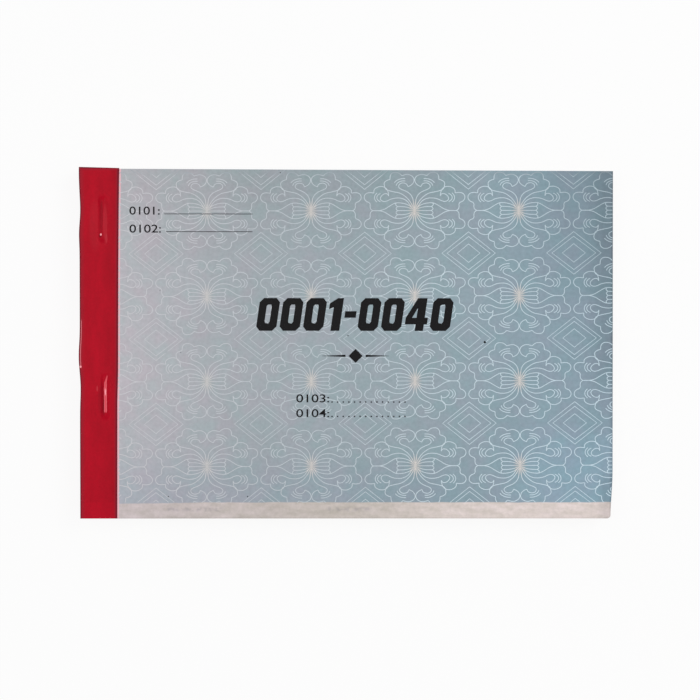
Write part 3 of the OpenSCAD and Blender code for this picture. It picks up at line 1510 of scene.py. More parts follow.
@dataclass
class BindingTape:
    """Tape wrapped round the spine, standing up in a ridge over each staple."""

    book: BookFrame
    crowns: tuple[Pair, ...] = ((-87.0 * MM, 44.4 * MM), (-86.2 * MM, -18.7 * MM))
    crown_l: float = 13.1 * MM
    crown_w: float = 1.0 * MM
    slope: float = 1.1 * MM
    end_slope: float = 2.0 * MM
    rise: float = 0.53 * MM
    back_lap: float = 12.8 * MM
    corner: float = 0.45 * MM
    head_overhang: Pair = (0.42 * MM, 0.08 * MM)
    head_run: float = 4.0 * MM
    flare: float = 0.42 * MM
    flare_run: float = 0.2
    slant: float = 0.29 * MM
    jog: float = 0.26 * MM
    jog_at: float = 0.56
    jog_run: float = 0.12
    bulge: float = -0.2
    bulges: tuple[Triple, ...] = (
        (61.0, 4.0, -0.2),
        (48.0, 3.6, 0.26),
        (39.0, 3.0, -0.2),
        (-4.5, 4.2, -0.42),
        (-16.0, 4.0, 0.24),
    )
    bulge_run: float = 3.0 * MM
    top_share: float = 0.6
    wrinkle: float = 0.022 * MM
    wrinkle_scale: Triple = (260.0, 90.0, 260.0)
    rows: int = 241
    turn_points: int = 7
    under_points: int = 17
    wall_points: int = 13
    lap_points: int = 61
    sharp: float = 50.0

    def front_edge(self, y: np.ndarray) -> np.ndarray:
        """Front lap's edge, which runs slightly askew.

        Args:
            y: Places up the book.

        Returns:
            The edge's places across.
        """
        down = (self.book.head_y - y) / (self.book.head_y - self.book.tail_y)
        flared = self.flare * np.exp(-down / self.flare_run)
        jogged = self.jog * smooth((down - self.jog_at) / self.jog_run)
        return self.book.crease_x + flared - self.slant * down - jogged

    def draw_in(self, y: np.ndarray) -> np.ndarray:
        """How far the spine is drawn in at the staples, or bulges between them."""
        bells = [size * bell(y - at * MM, width * MM) for at, width, size in self.bulges]
        return MM * (self.bulge + sum(bells))

    def ridge(self, x: np.ndarray, y: np.ndarray) -> np.ndarray:
        """Height of the ridges over the staples' crowns.

        Args:
            x: Places across.
            y: Places up.

        Returns:
            Heights above the flat tape.
        """
        height = np.zeros_like(x)
        for middle_x, middle_y in self.crowns:
            aside = np.abs(x - middle_x) - self.crown_w / 2
            along = np.abs(y - middle_y) - self.crown_l / 2
            flank = smooth(1.0 - aside / self.slope)
            ends = smooth(1.0 - along / self.end_slope)
            height = np.maximum(height, self.rise * flank * ends)
        return height

    def profile(self) -> tuple[np.ndarray, np.ndarray, np.ndarray]:
        """Runs round the spine from the back lap's edge to the front lap's.

        Returns:
            Places across, heights, and the share of the front lap, which is zero elsewhere.
        """
        book, r = self.book, self.corner
        turn = np.linspace(0.0, math.pi / 2, self.turn_points)[1:-1]
        centre = book.spine_x + r
        under = np.linspace(book.spine_x + self.back_lap, centre, self.under_points)
        wall = np.linspace(r, book.tape_top - r, self.wall_points)
        lap = np.linspace(0.0, 1.0, self.lap_points)
        flat = np.zeros_like
        x = [under, centre - r * np.sin(turn), flat(wall) + book.spine_x, centre - r * np.cos(turn)]
        z = [flat(under), r - r * np.cos(turn), wall, book.tape_top - r + r * np.sin(turn)]
        x.append(centre + lap * (book.crease_x - centre))
        z.append(flat(lap) + book.tape_top)
        plain = sum(len(part) for part in x[:-1])
        return np.concatenate(x), np.concatenate(z), np.concatenate([np.zeros(plain), lap])

    def _wrinkles(self, places: Sequence[np.ndarray]) -> np.ndarray:
        """Height of fine wrinkles.

        Args:
            places: Places across, places up and heights.

        Returns:
            Heights, of which only the raised ones are kept.
        """
        scaled = [part * scale for part, scale in zip(places, self.wrinkle_scale)]
        heights = np.array([noise.noise(Vector(point)) for point in zip(*scaled)])
        return self.wrinkle * np.maximum(heights, 0.0)

    def build(self, material: Material) -> Object:
        """Builds the tape.

        Args:
            material: Its material.

        Returns:
            The piece.
        """
        book = self.book
        across, height, share = self.profile()
        rows = np.linspace(book.tail_y, book.head_y, self.rows)
        tape = add_grid("wrapped_tape", np.arange(len(across)), rows)
        places = positions(tape)
        column, y = places[:, 0].astype(int), places[:, 1]
        x, z, lap = across[column], height[column], share[column]
        centre = book.spine_x + self.corner
        x = np.where(lap > 0, centre + lap * (self.front_edge(y) - centre), x)
        near = 1.0 - smooth((x - book.spine_x) / self.bulge_run)
        x = x + near * self.draw_in(y)
        overhang = np.interp(x, [book.spine_x, book.crease_x], self.head_overhang)
        y = y + overhang * smooth((y - book.head_y + self.head_run) / self.head_run)
        below_top = self.top_share * book.tape_top
        on_top = smooth((z - below_top) / (book.tape_top - below_top))
        z = z + on_top * self.ridge(x, y)
        z = z + on_top * self._wrinkles((x, y, z))
        set_positions(tape, np.stack([x, y, z], axis=1))
        run = np.concatenate([[0.0], np.cumsum(np.hypot(np.diff(across), np.diff(height)))])
        corner = np.flatnonzero((across <= book.spine_x + TOUCH) & (share == 0)).max()
        mark(tape, FROM_SPINE, np.abs(run - run[corner])[column])
        mark(tape, FROM_EDGE, np.where(share > 0, run[-1] - run, book.fore_x)[column])
        modify(tape, "SOLIDIFY", thickness=book.tape_t, offset=-1.0)
        shade(tape, self.sharp)
        dress(tape, "red_tape", material)
        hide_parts("binding_tape")
        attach(tape, ROOT_BODY)
        return tape


@dataclass
class PaperSheet:
    """Thin closed sheet over the book's plan."""

    book: BookFrame
    xs: Sequence[float]
    ys: Sequence[float]
    top: float
    thickness: float
    corner: float = 1.2 * MM

    def build(
        self,
        name: str,
        rise: Callable[[np.ndarray, np.ndarray], np.ndarray] | None = None,
        openings: Callable[[np.ndarray], np.ndarray] | None = None,
    ) -> Object:
        """Builds the sheet.

        Args:
            name: Name of the piece.
            rise: Height of the sheet above its flat place.
            openings: Tells which faces, by their middles, are cut out.

        Returns:
            The piece, with face material 0 on top and 1 elsewhere.
        """
        sheet = add_grid(name, self.xs, self.ys)
        if openings:
            with editing(sheet, openings(vectors(sheet.data.polygons, "center")), "FACE"):
                bpy.ops.mesh.delete(type="FACE")
        if self.corner > 0:
            round_corner(sheet, self.corner)
        places = self.book.trim(positions(sheet))
        places[:, 2] = self.top
        if rise:
            places[:, 2] += rise(places[:, 0], places[:, 1])
        set_positions(sheet, places)
        modify(sheet, "SOLIDIFY", thickness=self.thickness, offset=-1.0)
        faces = sheet.data.polygons
        elsewhere = vectors(faces, "normal")[:, 2] < 0.5
        faces.foreach_set("material_index", elsewhere.astype(np.int32))
        self.book.plan_uv(sheet)
        return sheet


@dataclass(frozen=True)
class OrnamentMotif:
    """Traditional scrolled medallion and nested diamonds, one quadrant of it, in millimetres."""

    line_w: float = 0.27
    core_w: float = 0.42
    core_reach: float = 3.4
    scrolls: tuple[Stroke, ...] = (
        (
            (0.5, 0.5), (1.6, 2.0), (2.7, 3.4), (4.4, 4.3), (6.3, 4.5), (8.5, 4.1), (9.8, 3.5),
            (11.2, 3.3), (12.2, 4.0), (12.2, 4.7), (11.6, 5.5), (10.7, 6.0), (9.7, 5.9), (9.3, 5.2),
        ),
        (
            (9.3, 5.2), (9.4, 6.2), (9.8, 7.4), (10.7, 8.3), (12.1, 8.6), (13.4, 8.3),
            (14.5, 7.4), (14.6, 6.3),
        ),
        ((14.6, 6.3), (16.4, 6.4), (17.5, 6.0), (18.1, 4.8), (17.5, 3.5), (16.3, 2.9)),
        ((16.3, 2.9), (16.0, 2.4), (16.0, 1.4), (15.7, 0.5), (15.0, 0.0)),
        (
            (0.5, 0.6), (1.6, 1.6), (3.0, 2.3), (4.7, 2.7), (6.6, 2.75), (7.4, 2.5), (9.0, 1.6),
            (10.9, 0.5), (12.6, 0.05), (15.0, 0.0),
        ),
        ((0.8, 0.5), (1.8, 0.95), (3.6, 1.35), (6.1, 1.45)),
        ((6.6, 2.75), (6.75, 2.1), (6.1, 1.45)),
        ((6.1, 1.45), (6.65, 0.75), (6.1, 0.0)),
        (
            (0.15, 0.9), (0.4, 3.0), (0.8, 4.8), (1.9, 6.2), (3.5, 7.1), (4.9, 7.7), (5.6, 8.3),
            (5.6, 9.0), (4.9, 9.7), (3.7, 9.8), (2.8, 9.4), (2.3, 8.5),
        ),
        (
            (2.3, 8.5), (0.8, 9.4), (0.15, 10.7), (0.4, 11.8), (1.4, 12.6), (2.5, 12.9),
            (3.7, 12.7), (4.5, 12.45),
        ),
        ((4.5, 12.45), (5.5, 13.3), (6.7, 13.6), (7.9, 13.4), (8.6, 12.6), (8.8, 11.1)),
        (
            (8.8, 11.1), (9.8, 10.8), (10.8, 10.0), (10.8, 8.9), (10.4, 7.8), (9.6, 7.3),
            (7.4, 6.7), (5.2, 6.2), (3.5, 5.2), (2.2, 4.0), (1.2, 2.6), (0.4, 1.0),
        ),
    )
    bud_line: Stroke = ((0.6, 0.0), (3.0, 0.0), (6.1, 0.0))
    heart_lines: tuple[Pair, ...] = ((-0.3, 0.7), (0.0, 1.4), (0.3, 0.7))
    side_middle: Pair = (10.8, 4.65)
    side_arcs: tuple[Box, ...] = ((2.75, 1.75, -58.0, 58.0), (3.6, 2.45, -42.0, 42.0))
    top_middle: Pair = (3.7, 8.75)
    top_arcs: tuple[Box, ...] = ((2.9, 1.87, 5.0, 98.0), (3.95, 2.68, 27.0, 95.0))
    arc_points: int = 5
    diamonds: tuple[Pair, ...] = ((9.55, 7.6), (7.7, 5.95), (4.05, 3.3))
    diamond_shift: float = 0.7

    def arc(self, middle: Pair, shape: Box) -> Stroke:
        """Points of an elliptical arc.

        Args:
            middle: Middle of the ellipse.
            shape: Its half-sizes, and the first and last angle in degrees.

        Returns:
            Points along the arc.
        """
        wide, tall, first, last = shape
        angles = np.radians(np.linspace(first, last, self.arc_points))
        return [(middle[0] + wide * math.cos(a), middle[1] + tall * math.sin(a)) for a in angles]

    def taper(self, x: float, y: float) -> float:
        """Share of a line's full width, which thins out towards the medallion's middle."""
        return self.core_w + (1.0 - self.core_w) * min(1.0, math.hypot(x, y) / self.core_reach)

    def strokes(self) -> list[Stroke]:
        """All strokes of the medallion about its middle.

        Returns:
            The strokes of its four quadrants.
        """
        quadrant = list(self.scrolls)
        quadrant += [self.arc(self.side_middle, shape) for shape in self.side_arcs]
        quadrant += [self.arc(self.top_middle, shape) for shape in self.top_arcs]
        signs = [(1, 1), (-1, 1), (-1, -1), (1, -1)]
        strokes = [[(sx * x, sy * y) for x, y in stroke] for stroke in quadrant for sx, sy in signs]
        strokes += [[(side * x, y) for x, y in self.bud_line] for side in (1, -1)]
        return strokes + [[(x, -half), (x, half)] for x, half in self.heart_lines]


@dataclass
class FrontCover:
    """Printed cover sheet with its ornament and generic print."""

    book: BookFrame
    lattice: OrnamentLattice
    motif: OrnamentMotif
    fold_run: float = 4.5 * MM
    tuck: float = 1.0 * MM
    print_gap: float = 0.01 * MM
    levels: int = 22
    level_gap: float = 0.0008 * MM
    print_inset: float = 0.15 * MM
    cells: tuple[int, int] = (6, 5)
    cells_before: tuple[int, int] = (3, 2)
    curve_steps: int = 4
    wave: float = 0.04 * MM
    wave_run: Pair = (11.5 * MM, 15.0 * MM)
    wave_start: Pair = (0.7, 0.4)
    still_share: float = 0.1
    lift: float = 0.45 * MM
    lift_power: float = 2.5
    fold_columns: int = 19
    columns: int = 56
    rows: int = 45

    def rise(self, x: np.ndarray, y: np.ndarray) -> np.ndarray:
        """Height of the lightly waved cover above its flat place.

        Args:
            x: Places across.
            y: Places up.

        Returns:
            Heights, which are zero at the crease.
        """
        book = self.book
        reach = np.clip((x - book.crease_x) / (book.fore_x - book.crease_x), 0.0, 1.0)
        run_x, run_y = self.wave_run
        start_x, start_y = self.wave_start
        wave = 1.0 + np.sin(x / run_x + start_x) * np.cos(y / run_y + start_y)
        return smooth(reach / self.still_share) * (self.wave * wave) + self.lift * reach**self.lift_power

    def build_sheet(self, tape: BindingTape, printed: Material, bare: Material) -> Object:
        """Builds the cover sheet.

        Args:
            tape: Tape whose edge leaves a rubbed line on the cover.
            printed: Material of its outer face.
            bare: Material of its inner face and its edges.

        Returns:
            The piece.
        """
        book = self.book
        fold = np.linspace(0.0, self.fold_run, self.fold_columns)
        rest = np.linspace(book.crease_x + self.fold_run, book.fore_x, self.columns)[1:]
        xs = np.concatenate([[book.crease_x - self.tuck], book.crease_x + fold, rest])
        ys = np.linspace(book.tail_y, book.head_y, self.rows)
        sheet = PaperSheet(book, xs, ys, book.cover_top, book.cover_top - book.cover_under)
        cover = sheet.build("printed_cover", self.rise)
        places = positions(cover)
        mark(cover, PAST_TAPE, places[:, 0] - tape.front_edge(places[:, 1]))
        shade(cover)
        dress(cover, "cover_paper", printed, bare)
        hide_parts("front_cover")
        book.fold(cover, COVER_BODY, self.fold_run)
        return cover

    def lay(self, obj: Object, material: Material) -> None:
        """Lays flat print on the cover, following its waves.

        Args:
            obj: Flat print at height zero, with small steps where its strokes cross.
            material: Its material.
        """
        places = positions(obj)
        places[:, 2] += self.book.cover_top + self.rise(places[:, 0], places[:, 1]) + self.print_gap
        set_positions(obj, places)
        self.book.plan_uv(obj)
        dress(obj, "cover_paper", material)
        self.book.fold(obj, COVER_BODY, self.fold_run)

    def _profile(self) -> Object:
        """Straight profile that gives a stroke its width.

        Returns:
            The profile.
        """
        half = self.motif.line_w * MM / 2
        curve = bpy.data.curves.new("line_profile", "CURVE")
        add_lines(curve, [(-half, 0.0), (half, 0.0)], closed=False)
        return link_curve(curve)

    def _ribbons(self, profile: Object) -> Object:
        """One medallion and one set of diamonds as flat ribbons about the lattice's first cell.

        Args:
            profile: Profile of a ribbon.

        Returns:
            The mesh.
        """
        curve = bpy.data.curves.new("ornament", "CURVE")
        curve.dimensions = "3D"
        curve.twist_mode = "Z_UP"
        curve.resolution_u = self.curve_steps
        curve.bevel_mode = "OBJECT"
        curve.bevel_object = profile
        for i, stroke in enumerate(self.motif.strokes()):
            level = (i % self.levels) * self.level_gap
            spline = curve.splines.new("BEZIER")
            spline.bezier_points.add(len(stroke) - 1)
            for point, (x, y) in zip(spline.bezier_points, stroke):
                point.co = (x * MM, y * MM, level)
                point.radius = self.motif.taper(x, y)
                point.handle_left_type = "AUTO"
                point.handle_right_type = "AUTO"
        half_x, half_y = (pitch / 2 for pitch in self.lattice.pitch)
        half_x += self.motif.diamond_shift
        for wide, tall in self.motif.diamonds:
            corners = ((wide, 0.0), (0.0, tall), (-wide, 0.0), (0.0, -tall))
            add_lines(curve, [((half_x + x) * MM, (half_y + y) * MM) for x, y in corners])
        return curve_mesh(curve)

    def build_ornament(self, material: Material) -> Object:
        """Builds the ornament over the printed part of the cover.

        Args:
            material: Its material.

        Returns:
            The piece.
        """
        book, lattice = self.book, self.lattice
        profile = self._profile()
        cell = self._ribbons(profile)
        cell.name = "cover_ornament"
        bpy.data.objects.remove(profile)
        before = zip(lattice.centre, lattice.pitch, self.cells_before)
        first = [(middle - count * pitch) * MM for middle, pitch, count in before]
        set_positions(cell, positions(cell) + (*first, 0.0))
        pitch_x, pitch_y = (pitch * MM for pitch in lattice.pitch)
        repeat(cell, (pitch_x, 0.0, 0.0), self.cells[0])
        repeat(cell, (0.0, pitch_y, 0.0), self.cells[1])
        set_positions(cell, lattice.skew(positions(cell)))
        cuts = [
            ((book.crease_x - self.print_inset, 0.0, 0.0), (-1.0, 0.0, 0.0)),
            ((0.0, STRIP_TOP * MM, 0.0), (0.0, -1.0, 0.0)),
        ]
        fore_ys = (book.head_y, book.tail_y + book.corner_run, book.tail_y)
        square = [(book.crease_x, book.head_y, 0.0), *((book.fore_x, y, 0.0) for y in fore_ys)]
        corners = book.trim(np.array(square))
        for start, end in zip(corners, corners[1:]):
            outward = Vector((start[1] - end[1], end[0] - start[0], 0.0)).normalized()
            cuts.append((Vector(start) - self.print_inset * outward, outward))
        for point, outward in cuts:
            with editing(cell):
                bpy.ops.mesh.bisect(plane_co=point, plane_no=outward, clear_outer=True)
        self.lay(cell, material)
        return cell


@dataclass(frozen=True)
class BlockNumeral:
    """Heavy numeral with cut corners, one unit tall: its outline, its openings and its width."""

    width: float
    outlines: tuple[Stroke, ...]


BLOCK_NUMERALS = {
    "0": BlockNumeral(
        0.64,
        (
            (
                (0.12, 0.0), (0.52, 0.0), (0.64, 0.13), (0.64, 0.87),
                (0.52, 1.0), (0.12, 1.0), (0.0, 0.87), (0.0, 0.13),
            ),
            (
                (0.26, 0.24), (0.24, 0.3), (0.24, 0.76), (0.28, 0.8),
                (0.38, 0.8), (0.4, 0.74), (0.4, 0.28), (0.36, 0.22),
            ),
        ),
    ),
    "1": BlockNumeral(
        0.42,
        (((0.14, 0.0), (0.42, 0.0), (0.42, 1.0), (0.24, 1.0), (0.0, 0.84), (0.0, 0.66), (0.14, 0.72)),),
    ),
    "4": BlockNumeral(
        0.7,
        (
            (
                (0.34, 0.0), (0.6, 0.0), (0.6, 0.2), (0.7, 0.2), (0.7, 0.4), (0.6, 0.4), (0.6, 1.0),
                (0.3, 1.0), (0.0, 0.4), (0.0, 0.2), (0.34, 0.2),
            ),
            ((0.2, 0.4), (0.34, 0.7), (0.34, 0.4)),
        ),
    ),
    "-": BlockNumeral(0.36, (((0.0, 0.4), (0.36, 0.4), (0.36, 0.6), (0.0, 0.6)),)),
}


@dataclass
class CoverLettering:
    """Generic print of the cover: numerals, rules and dots, in millimetres."""

    cover: FrontCover
    title: str = "0001-0040"
    title_box: Box = (-32.3, 38.2, 4.7, 16.4)
    title_lean: float = 0.15
    title_gap: float = 0.1
    labels: tuple[tuple[str, Box], ...] = (
        ("0101:", (-77.4, -66.6, 46.0, 48.9)),
        ("0102:", (-77.4, -66.2, 39.6, 42.5)),
        ("0103:", (-18.0, -6.2, -20.9, -18.0)),
        ("0104:", (-18.0, -6.2, -26.2, -23.3)),
    )
    rules: tuple[Box, ...] = ((-65.0, -33.6, 46.18, 46.42), (-64.4, -33.6, 39.88, 40.12))
    dotted: tuple[Triple, ...] = ((-5.2, 20.9, -20.75), (-5.2, 20.9, -25.9))
    dot_count: int = 14
    dot_r: float = 0.3
    specks: tuple[Triple, ...] = (
        (-23.7, 61.0, 0.2),
        (-66.6, 19.0, 0.13),
        (-59.2, -3.1, 0.14),
        (0.5, 3.0, 0.24),
        (49.4, 0.7, 0.46),
        (-63.7, -54.6, 0.2),
        (-35.4, -54.6, 0.22),
    )
    divider_at: Pair = (3.2, -4.25)
    ink_gap: float = 0.025 * MM
    boldness: float = 0.006
    rule_points: int = 15
    dot_sides: int = 8
    speck_sides: int = 9
    ragged: Pair = (0.75, 1.2)
    chance: int = 7
    lozenge_r: float = 2.5
    taper_span: Pair = (3.6, 12.0)
    taper_points: int = 7
    taper_half: float = 0.55
    taper_tip: float = 13.0

    def heading(self) -> Object:
        """Makes the flat heavy numerals of the heading.

        Returns:
            The mesh, which fills the heading's box.
        """
        curve = bpy.data.curves.new("cover_numerals", "CURVE")
        curve.dimensions = "2D"
        curve.fill_mode = "FRONT"
        start = 0.0
        for sign in self.title:
            numeral = BLOCK_NUMERALS[sign]
            for outline in numeral.outlines:
                add_lines(curve, [(start + x + self.title_lean * y, y) for x, y in outline])
            start += numeral.width + self.title_gap
        return self.fill(curve_mesh(curve), self.title_box)

    @staticmethod
    def fill(obj: Object, box: Box) -> Object:
        """Stretches a flat mesh to fill a box.

        Args:
            obj: Flat mesh.
            box: Lowest x, highest x, lowest y and highest y, in millimetres.

        Returns:
            The same mesh.
        """
        places = positions(obj)
        low, high = places.min(axis=0), places.max(axis=0)
        for axis in (0, 1):
            start, end = box[2 * axis] * MM, box[2 * axis + 1] * MM
            share = (places[:, axis] - low[axis]) / (high[axis] - low[axis])
            places[:, axis] = start + share * (end - start)
        set_positions(obj, places)
        return obj

    def numerals(self, body: str, box: Box) -> Object:
        """Makes small flat numerals that fill a box.

        Args:
            body: The numerals.
            box: Lowest x, highest x, lowest y and highest y, in millimetres.

        Returns:
            The mesh.
        """
        deselect_all()
        bpy.ops.object.text_add()
        text = bpy.context.object
        text.data.body = body
        text.data.offset = self.boldness
        bpy.ops.object.convert(target="MESH")
        return self.fill(bpy.context.object, box)

    def ink(self, obj: Object, material: Material) -> None:
        """Lays ink on the cover, above the ornament."""
        set_positions(obj, positions(obj) + (0.0, 0.0, self.ink_gap))
        self.cover.lay(obj, material)

    def disc(
        self, middle: Pair, radius: float, sides: int, chance: random.Random | None = None
    ) -> Object:
        """Makes a dot, ragged if a source of chance is given.

        Args:
            middle: Middle in millimetres.
            radius: Radius in millimetres.
            sides: Number of sides.
            chance: Source of the raggedness.

        Returns:
            The mesh.
        """
        deselect_all()
        bpy.ops.mesh.primitive_circle_add(vertices=sides, radius=radius * MM, fill_type="NGON")
        obj = bpy.context.object
        places = positions(obj)
        if chance:
            places *= np.array([[chance.uniform(*self.ragged)] for _ in places])
        set_positions(obj, places + np.array([middle[0] * MM, middle[1] * MM, 0.0]))
        return obj

    def build(self, black: Material, grey: Material) -> None:
        """Builds all print on the cover.

        Args:
            black: Material of the numerals.
            grey: Material of the rules and dots.
        """
        chance = random.Random(self.chance)
        self.ink(self.heading(), black)
        small = [self.numerals(body, box) for body, box in self.labels]
        self.ink(join("field_numerals", small), black)
        lines = []
        for x0, x1, y0, y1 in self.rules:
            xs = np.linspace(x0, x1, self.rule_points) * MM
            lines.append(add_grid("rule", xs, np.array([y0, y1]) * MM))
        for x0, x1, y in self.dotted:
            xs = np.linspace(x0, x1, self.dot_count)
            lines += [self.disc((x, y), self.dot_r, self.dot_sides) for x in xs]
        self.ink(join("field_lines", lines), grey)
        specks = [self.disc((x, y), radius, self.speck_sides, chance) for x, y, radius in self.specks]
        self.ink(join("ink_specks", specks), black)
        self.ink(self._divider(), black)

    def _divider(self) -> Object:
        """Plain lozenge between two tapered rules.

        Returns:
            The mesh.
        """
        x, y = self.divider_at
        parts = [self.disc((x, y), self.lozenge_r, sides=4)]
        for side in (-1, 1):
            xs = np.linspace(*self.taper_span, self.taper_points) * MM
            taper = add_grid("taper", xs, np.array([-1.0, 1.0]) * MM)
            places = positions(taper)
            places[:, 1] *= self.taper_half * (1.0 - places[:, 0] / (self.taper_tip * MM))
            places[:, 0] *= side
            set_positions(taper, places + np.array([x * MM, y * MM, 0.0]))
            if side < 0:
                with editing(taper):
                    bpy.ops.mesh.flip_normals()
            parts.append(taper)
        return join("divider", parts)


@dataclass
class TurningLeaves:
    """Sheets of the top sets, which turn with the cover, and the margins that the staples hold."""

    book: BookFrame
    sets: int = 3
    fold_run: float = 4.0 * MM
    perforation: Perforation = Perforation()
    clearance: float = 0.01 * MM
    fold_columns: int = 14
    past_fold: float = 4.6 * MM
    rest_start: float = 6.0 * MM
    rest_columns: int = 9
    recess: float = 0.35 * MM
    full_ends: Pair = (22.0 * MM, 3.0 * MM)
    margin: float = 0.5 * MM

    def slit_middles(self) -> np.ndarray:
        """Middles of the slits up the book.

        Returns:
            Their places.
        """
        row = self.perforation
        height = self.book.head_y - self.book.tail_y
        count = math.floor((height - row.tie + TOUCH) / row.pitch)
        return (np.arange(count) - (count - 1) / 2) * row.pitch

    def build_leaf(self, number: int, copy: Copy, face: Material, back: Material) -> None:
        """Builds one turning sheet with its row of slits.

        Args:
            number: Number of its set, from the top.
            copy: Its colour.
            face: Material of the printed face.
            back: Material of the other faces.
        """
        book = self.book
        node = f"set_{number}_{copy.value}_leaf"
        _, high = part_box(node)
        row = self.perforation
        half_w, half_l = row.slit_w / 2, row.slit_l / 2
        fold = np.linspace(0.0, row.inset - half_w, self.fold_columns)
        past = [row.inset + half_w, self.fold_run, self.past_fold]
        rest = np.linspace(self.rest_start, book.fore_x - book.crease_x, self.rest_columns)
        xs = book.crease_x + np.concatenate([fold, past, rest])
        middles = self.slit_middles()
        ends = np.sort(np.concatenate([middles - half_l, middles + half_l]))
        ys = np.concatenate([[book.tail_y], ends, [book.head_y]])

        def slits(centres: np.ndarray) -> np.ndarray:
            """Tells which faces, by their middles, lie in a slit.

            Args:
                centres: Middles of the faces.

            Returns:
                One flag per face.
            """
            near = np.abs(centres[:, 0] - book.crease_x - row.inset) < half_w
            gap = np.abs(centres[:, 1][:, None] - middles[None, :]).min(axis=1)
            return near & (gap < half_l)

        thickness = book.sheet_t - 2 * self.clearance
        sheet = PaperSheet(book, xs, ys, high[2] - self.clearance, thickness)
        leaf = sheet.build(f"{copy.value}_sheet_{number}", openings=slits)
        dress(leaf, f"{copy.value}_paper", face, back)
        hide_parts(node)
        book.fold(leaf, node, self.fold_run)

    def build_margins(self, copy: Copy, material: Material) -> None:
        """Builds the bound margins of one colour.

        Args:
            copy: Their colour.
            material: Their material.
        """
        nodes = [f"set_{number}_{copy.value}_margin" for number in range(1, self.sets + 1)]
        parts = []
        for node in nodes:
            _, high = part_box(node)
            parts.append(self.strip("margin", self.book.crease_x, high[2], self.book.sheet_t))
        margins = join(f"{copy.value}_margins", parts)
        dress(margins, f"{copy.value}_paper", material, material)
        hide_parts(*nodes)
        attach(margins, ROOT_BODY)

    def strip(self, name: str, to_x: float, top: float, thickness: float, corner: float = 0.0) -> Object:
        """Makes a held sheet, whose spine edge keeps clear of the drawn-in tape.

        Args:
            name: Name of the piece.
            to_x: Place across at which it ends.
            top: Height of its face.
            thickness: Its thickness.
            corner: Radius of its outer tail corner.

        Returns:
            The mesh.
        """
        book = self.book
        low, high = book.tail_y + self.full_ends[0], book.head_y - self.full_ends[1]
        ys = [book.tail_y, low, high, book.head_y]
        held = PaperSheet(book, [book.paper_x, to_x], ys, top, thickness, corner).build(name)
        places = positions(held)
        inner = np.abs(places[:, 1] - (low + high) / 2) < (high - low) / 2 + self.margin
        at_spine = places[:, 0] < book.paper_x + self.margin
        places[inner & at_spine, 0] += self.recess
        set_positions(held, places)
        return held

    def build_cover_margin(self, tuck: float, material: Material) -> None:
        """Builds the cover's bound margin.

        Args:
            tuck: How far the turning sheet reaches under the tape.
            material: Its material.
        """
        book = self.book
        thickness = book.cover_top - book.cover_under
        margin = self.strip("cover_margin", book.crease_x - tuck, book.cover_top, thickness)
        dress(margin, "cover_paper", material, material)
        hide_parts("front_cover_margin")
        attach(margin, ROOT_BODY)


@dataclass
class SheetStack:
    """Flat sets under the turning sheets, each sheet slightly out of line."""

    book: BookFrame
    leaves: TurningLeaves
    clearance: float = 0.006 * MM
    stray: Pair = (-0.1 * MM, 0.04 * MM)

    def build(self, copy: Copy, face: Material, bare: Material) -> None:
        """Builds the sheets of one colour.

        Args:
            copy: Their colour.
            face: Material of the printed faces.
            bare: Material of the other faces.
        """
        book, node = self.book, f"{copy.value}_sheets"
        low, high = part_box(node)
        pitch = len(Copy) * book.sheet_t
        count = round((high[2] - low[2] - book.sheet_t) / pitch) + 1
        top, thickness = high[2] - self.clearance, book.sheet_t - 2 * self.clearance
        name = f"{copy.value}_stack"
        stack = self.leaves.strip(name, book.fore_x, top, thickness, PaperSheet.corner)
        size = len(stack.data.vertices)
        repeat(stack, (0.0, 0.0, -pitch), count)
        chance = np.random.default_rng(len(copy.value))
        places = positions(stack)
        sheet = np.arange(len(places)) // size
        shift = chance.uniform(*self.stray, (count, 2))[sheet]
        loose = places[:, 0] > book.crease_x
        places[loose, :2] += shift[loose]
        set_positions(stack, places)
        dress(stack, f"{copy.value}_paper", face, bare)
        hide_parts(node)
        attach(stack, ROOT_BODY)


@dataclass
class BackBoard:
    """Grey board under the sheets, rebated for the tape's back lap."""

    book: BookFrame
    leaves: TurningLeaves
    tape: BindingTape
    lap_gap: float = 0.1 * MM
    edge: float = 0.12 * MM
    edge_segments: int = 2
    edge_angle: float = 50.0
    corner: float = 1.4 * MM
    sharp: float = 40.0

    def build(self, material: Material) -> None:
        """Builds the board.

        Args:
            material: Its material.
        """
        book = self.book
        board = self.leaves.strip("pulp_board", book.fore_x, book.board_top, book.board_top, self.corner)
        deselect_all()
        bpy.ops.mesh.primitive_cube_add(size=1.0)
        rebate = bpy.context.object
        places = positions(rebate) + 0.5
        depth, length = 2 * book.tape_t, 2 * (book.head_y - book.tail_y)
        past = book.tape_t
        places *= (past + self.tape.back_lap + self.lap_gap, length, depth)
        places += (book.spine_x - past, -length / 2, -book.tape_t)
        set_positions(rebate, places)
        modify(board, "BOOLEAN", object=rebate, operation="DIFFERENCE", solver="EXACT")
        bpy.data.objects.remove(rebate)
        modify(
            board,
            "BEVEL",
            width=self.edge,
            segments=self.edge_segments,
            limit_method="ANGLE",
            angle_limit=math.radians(self.edge_angle),
        )
        shade(board, self.sharp)
        faces = board.data.polygons
        faces.foreach_set("material_index", np.zeros(len(faces), dtype=np.int32))
        dress(board, "grey_board", material)
        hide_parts("back_cover")
        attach(board, ROOT_BODY)


@dataclass(frozen=True)
class Lamp:
    """Soft square lamp that faces the book: its place and width in metres, its power in watts."""

    name: str
    place: Triple
    size: float
    power: float

    def add(self) -> None:
        """Adds the lamp."""
        deselect_all()
        bpy.ops.object.light_add(type="AREA", location=self.place)
        lamp = bpy.context.object
        lamp.name = self.name
        lamp.data.size = self.size
        lamp.data.energy = self.power
        lamp.rotation_euler = (-Vector(self.place)).to_track_quat("-Z", "Y").to_euler()


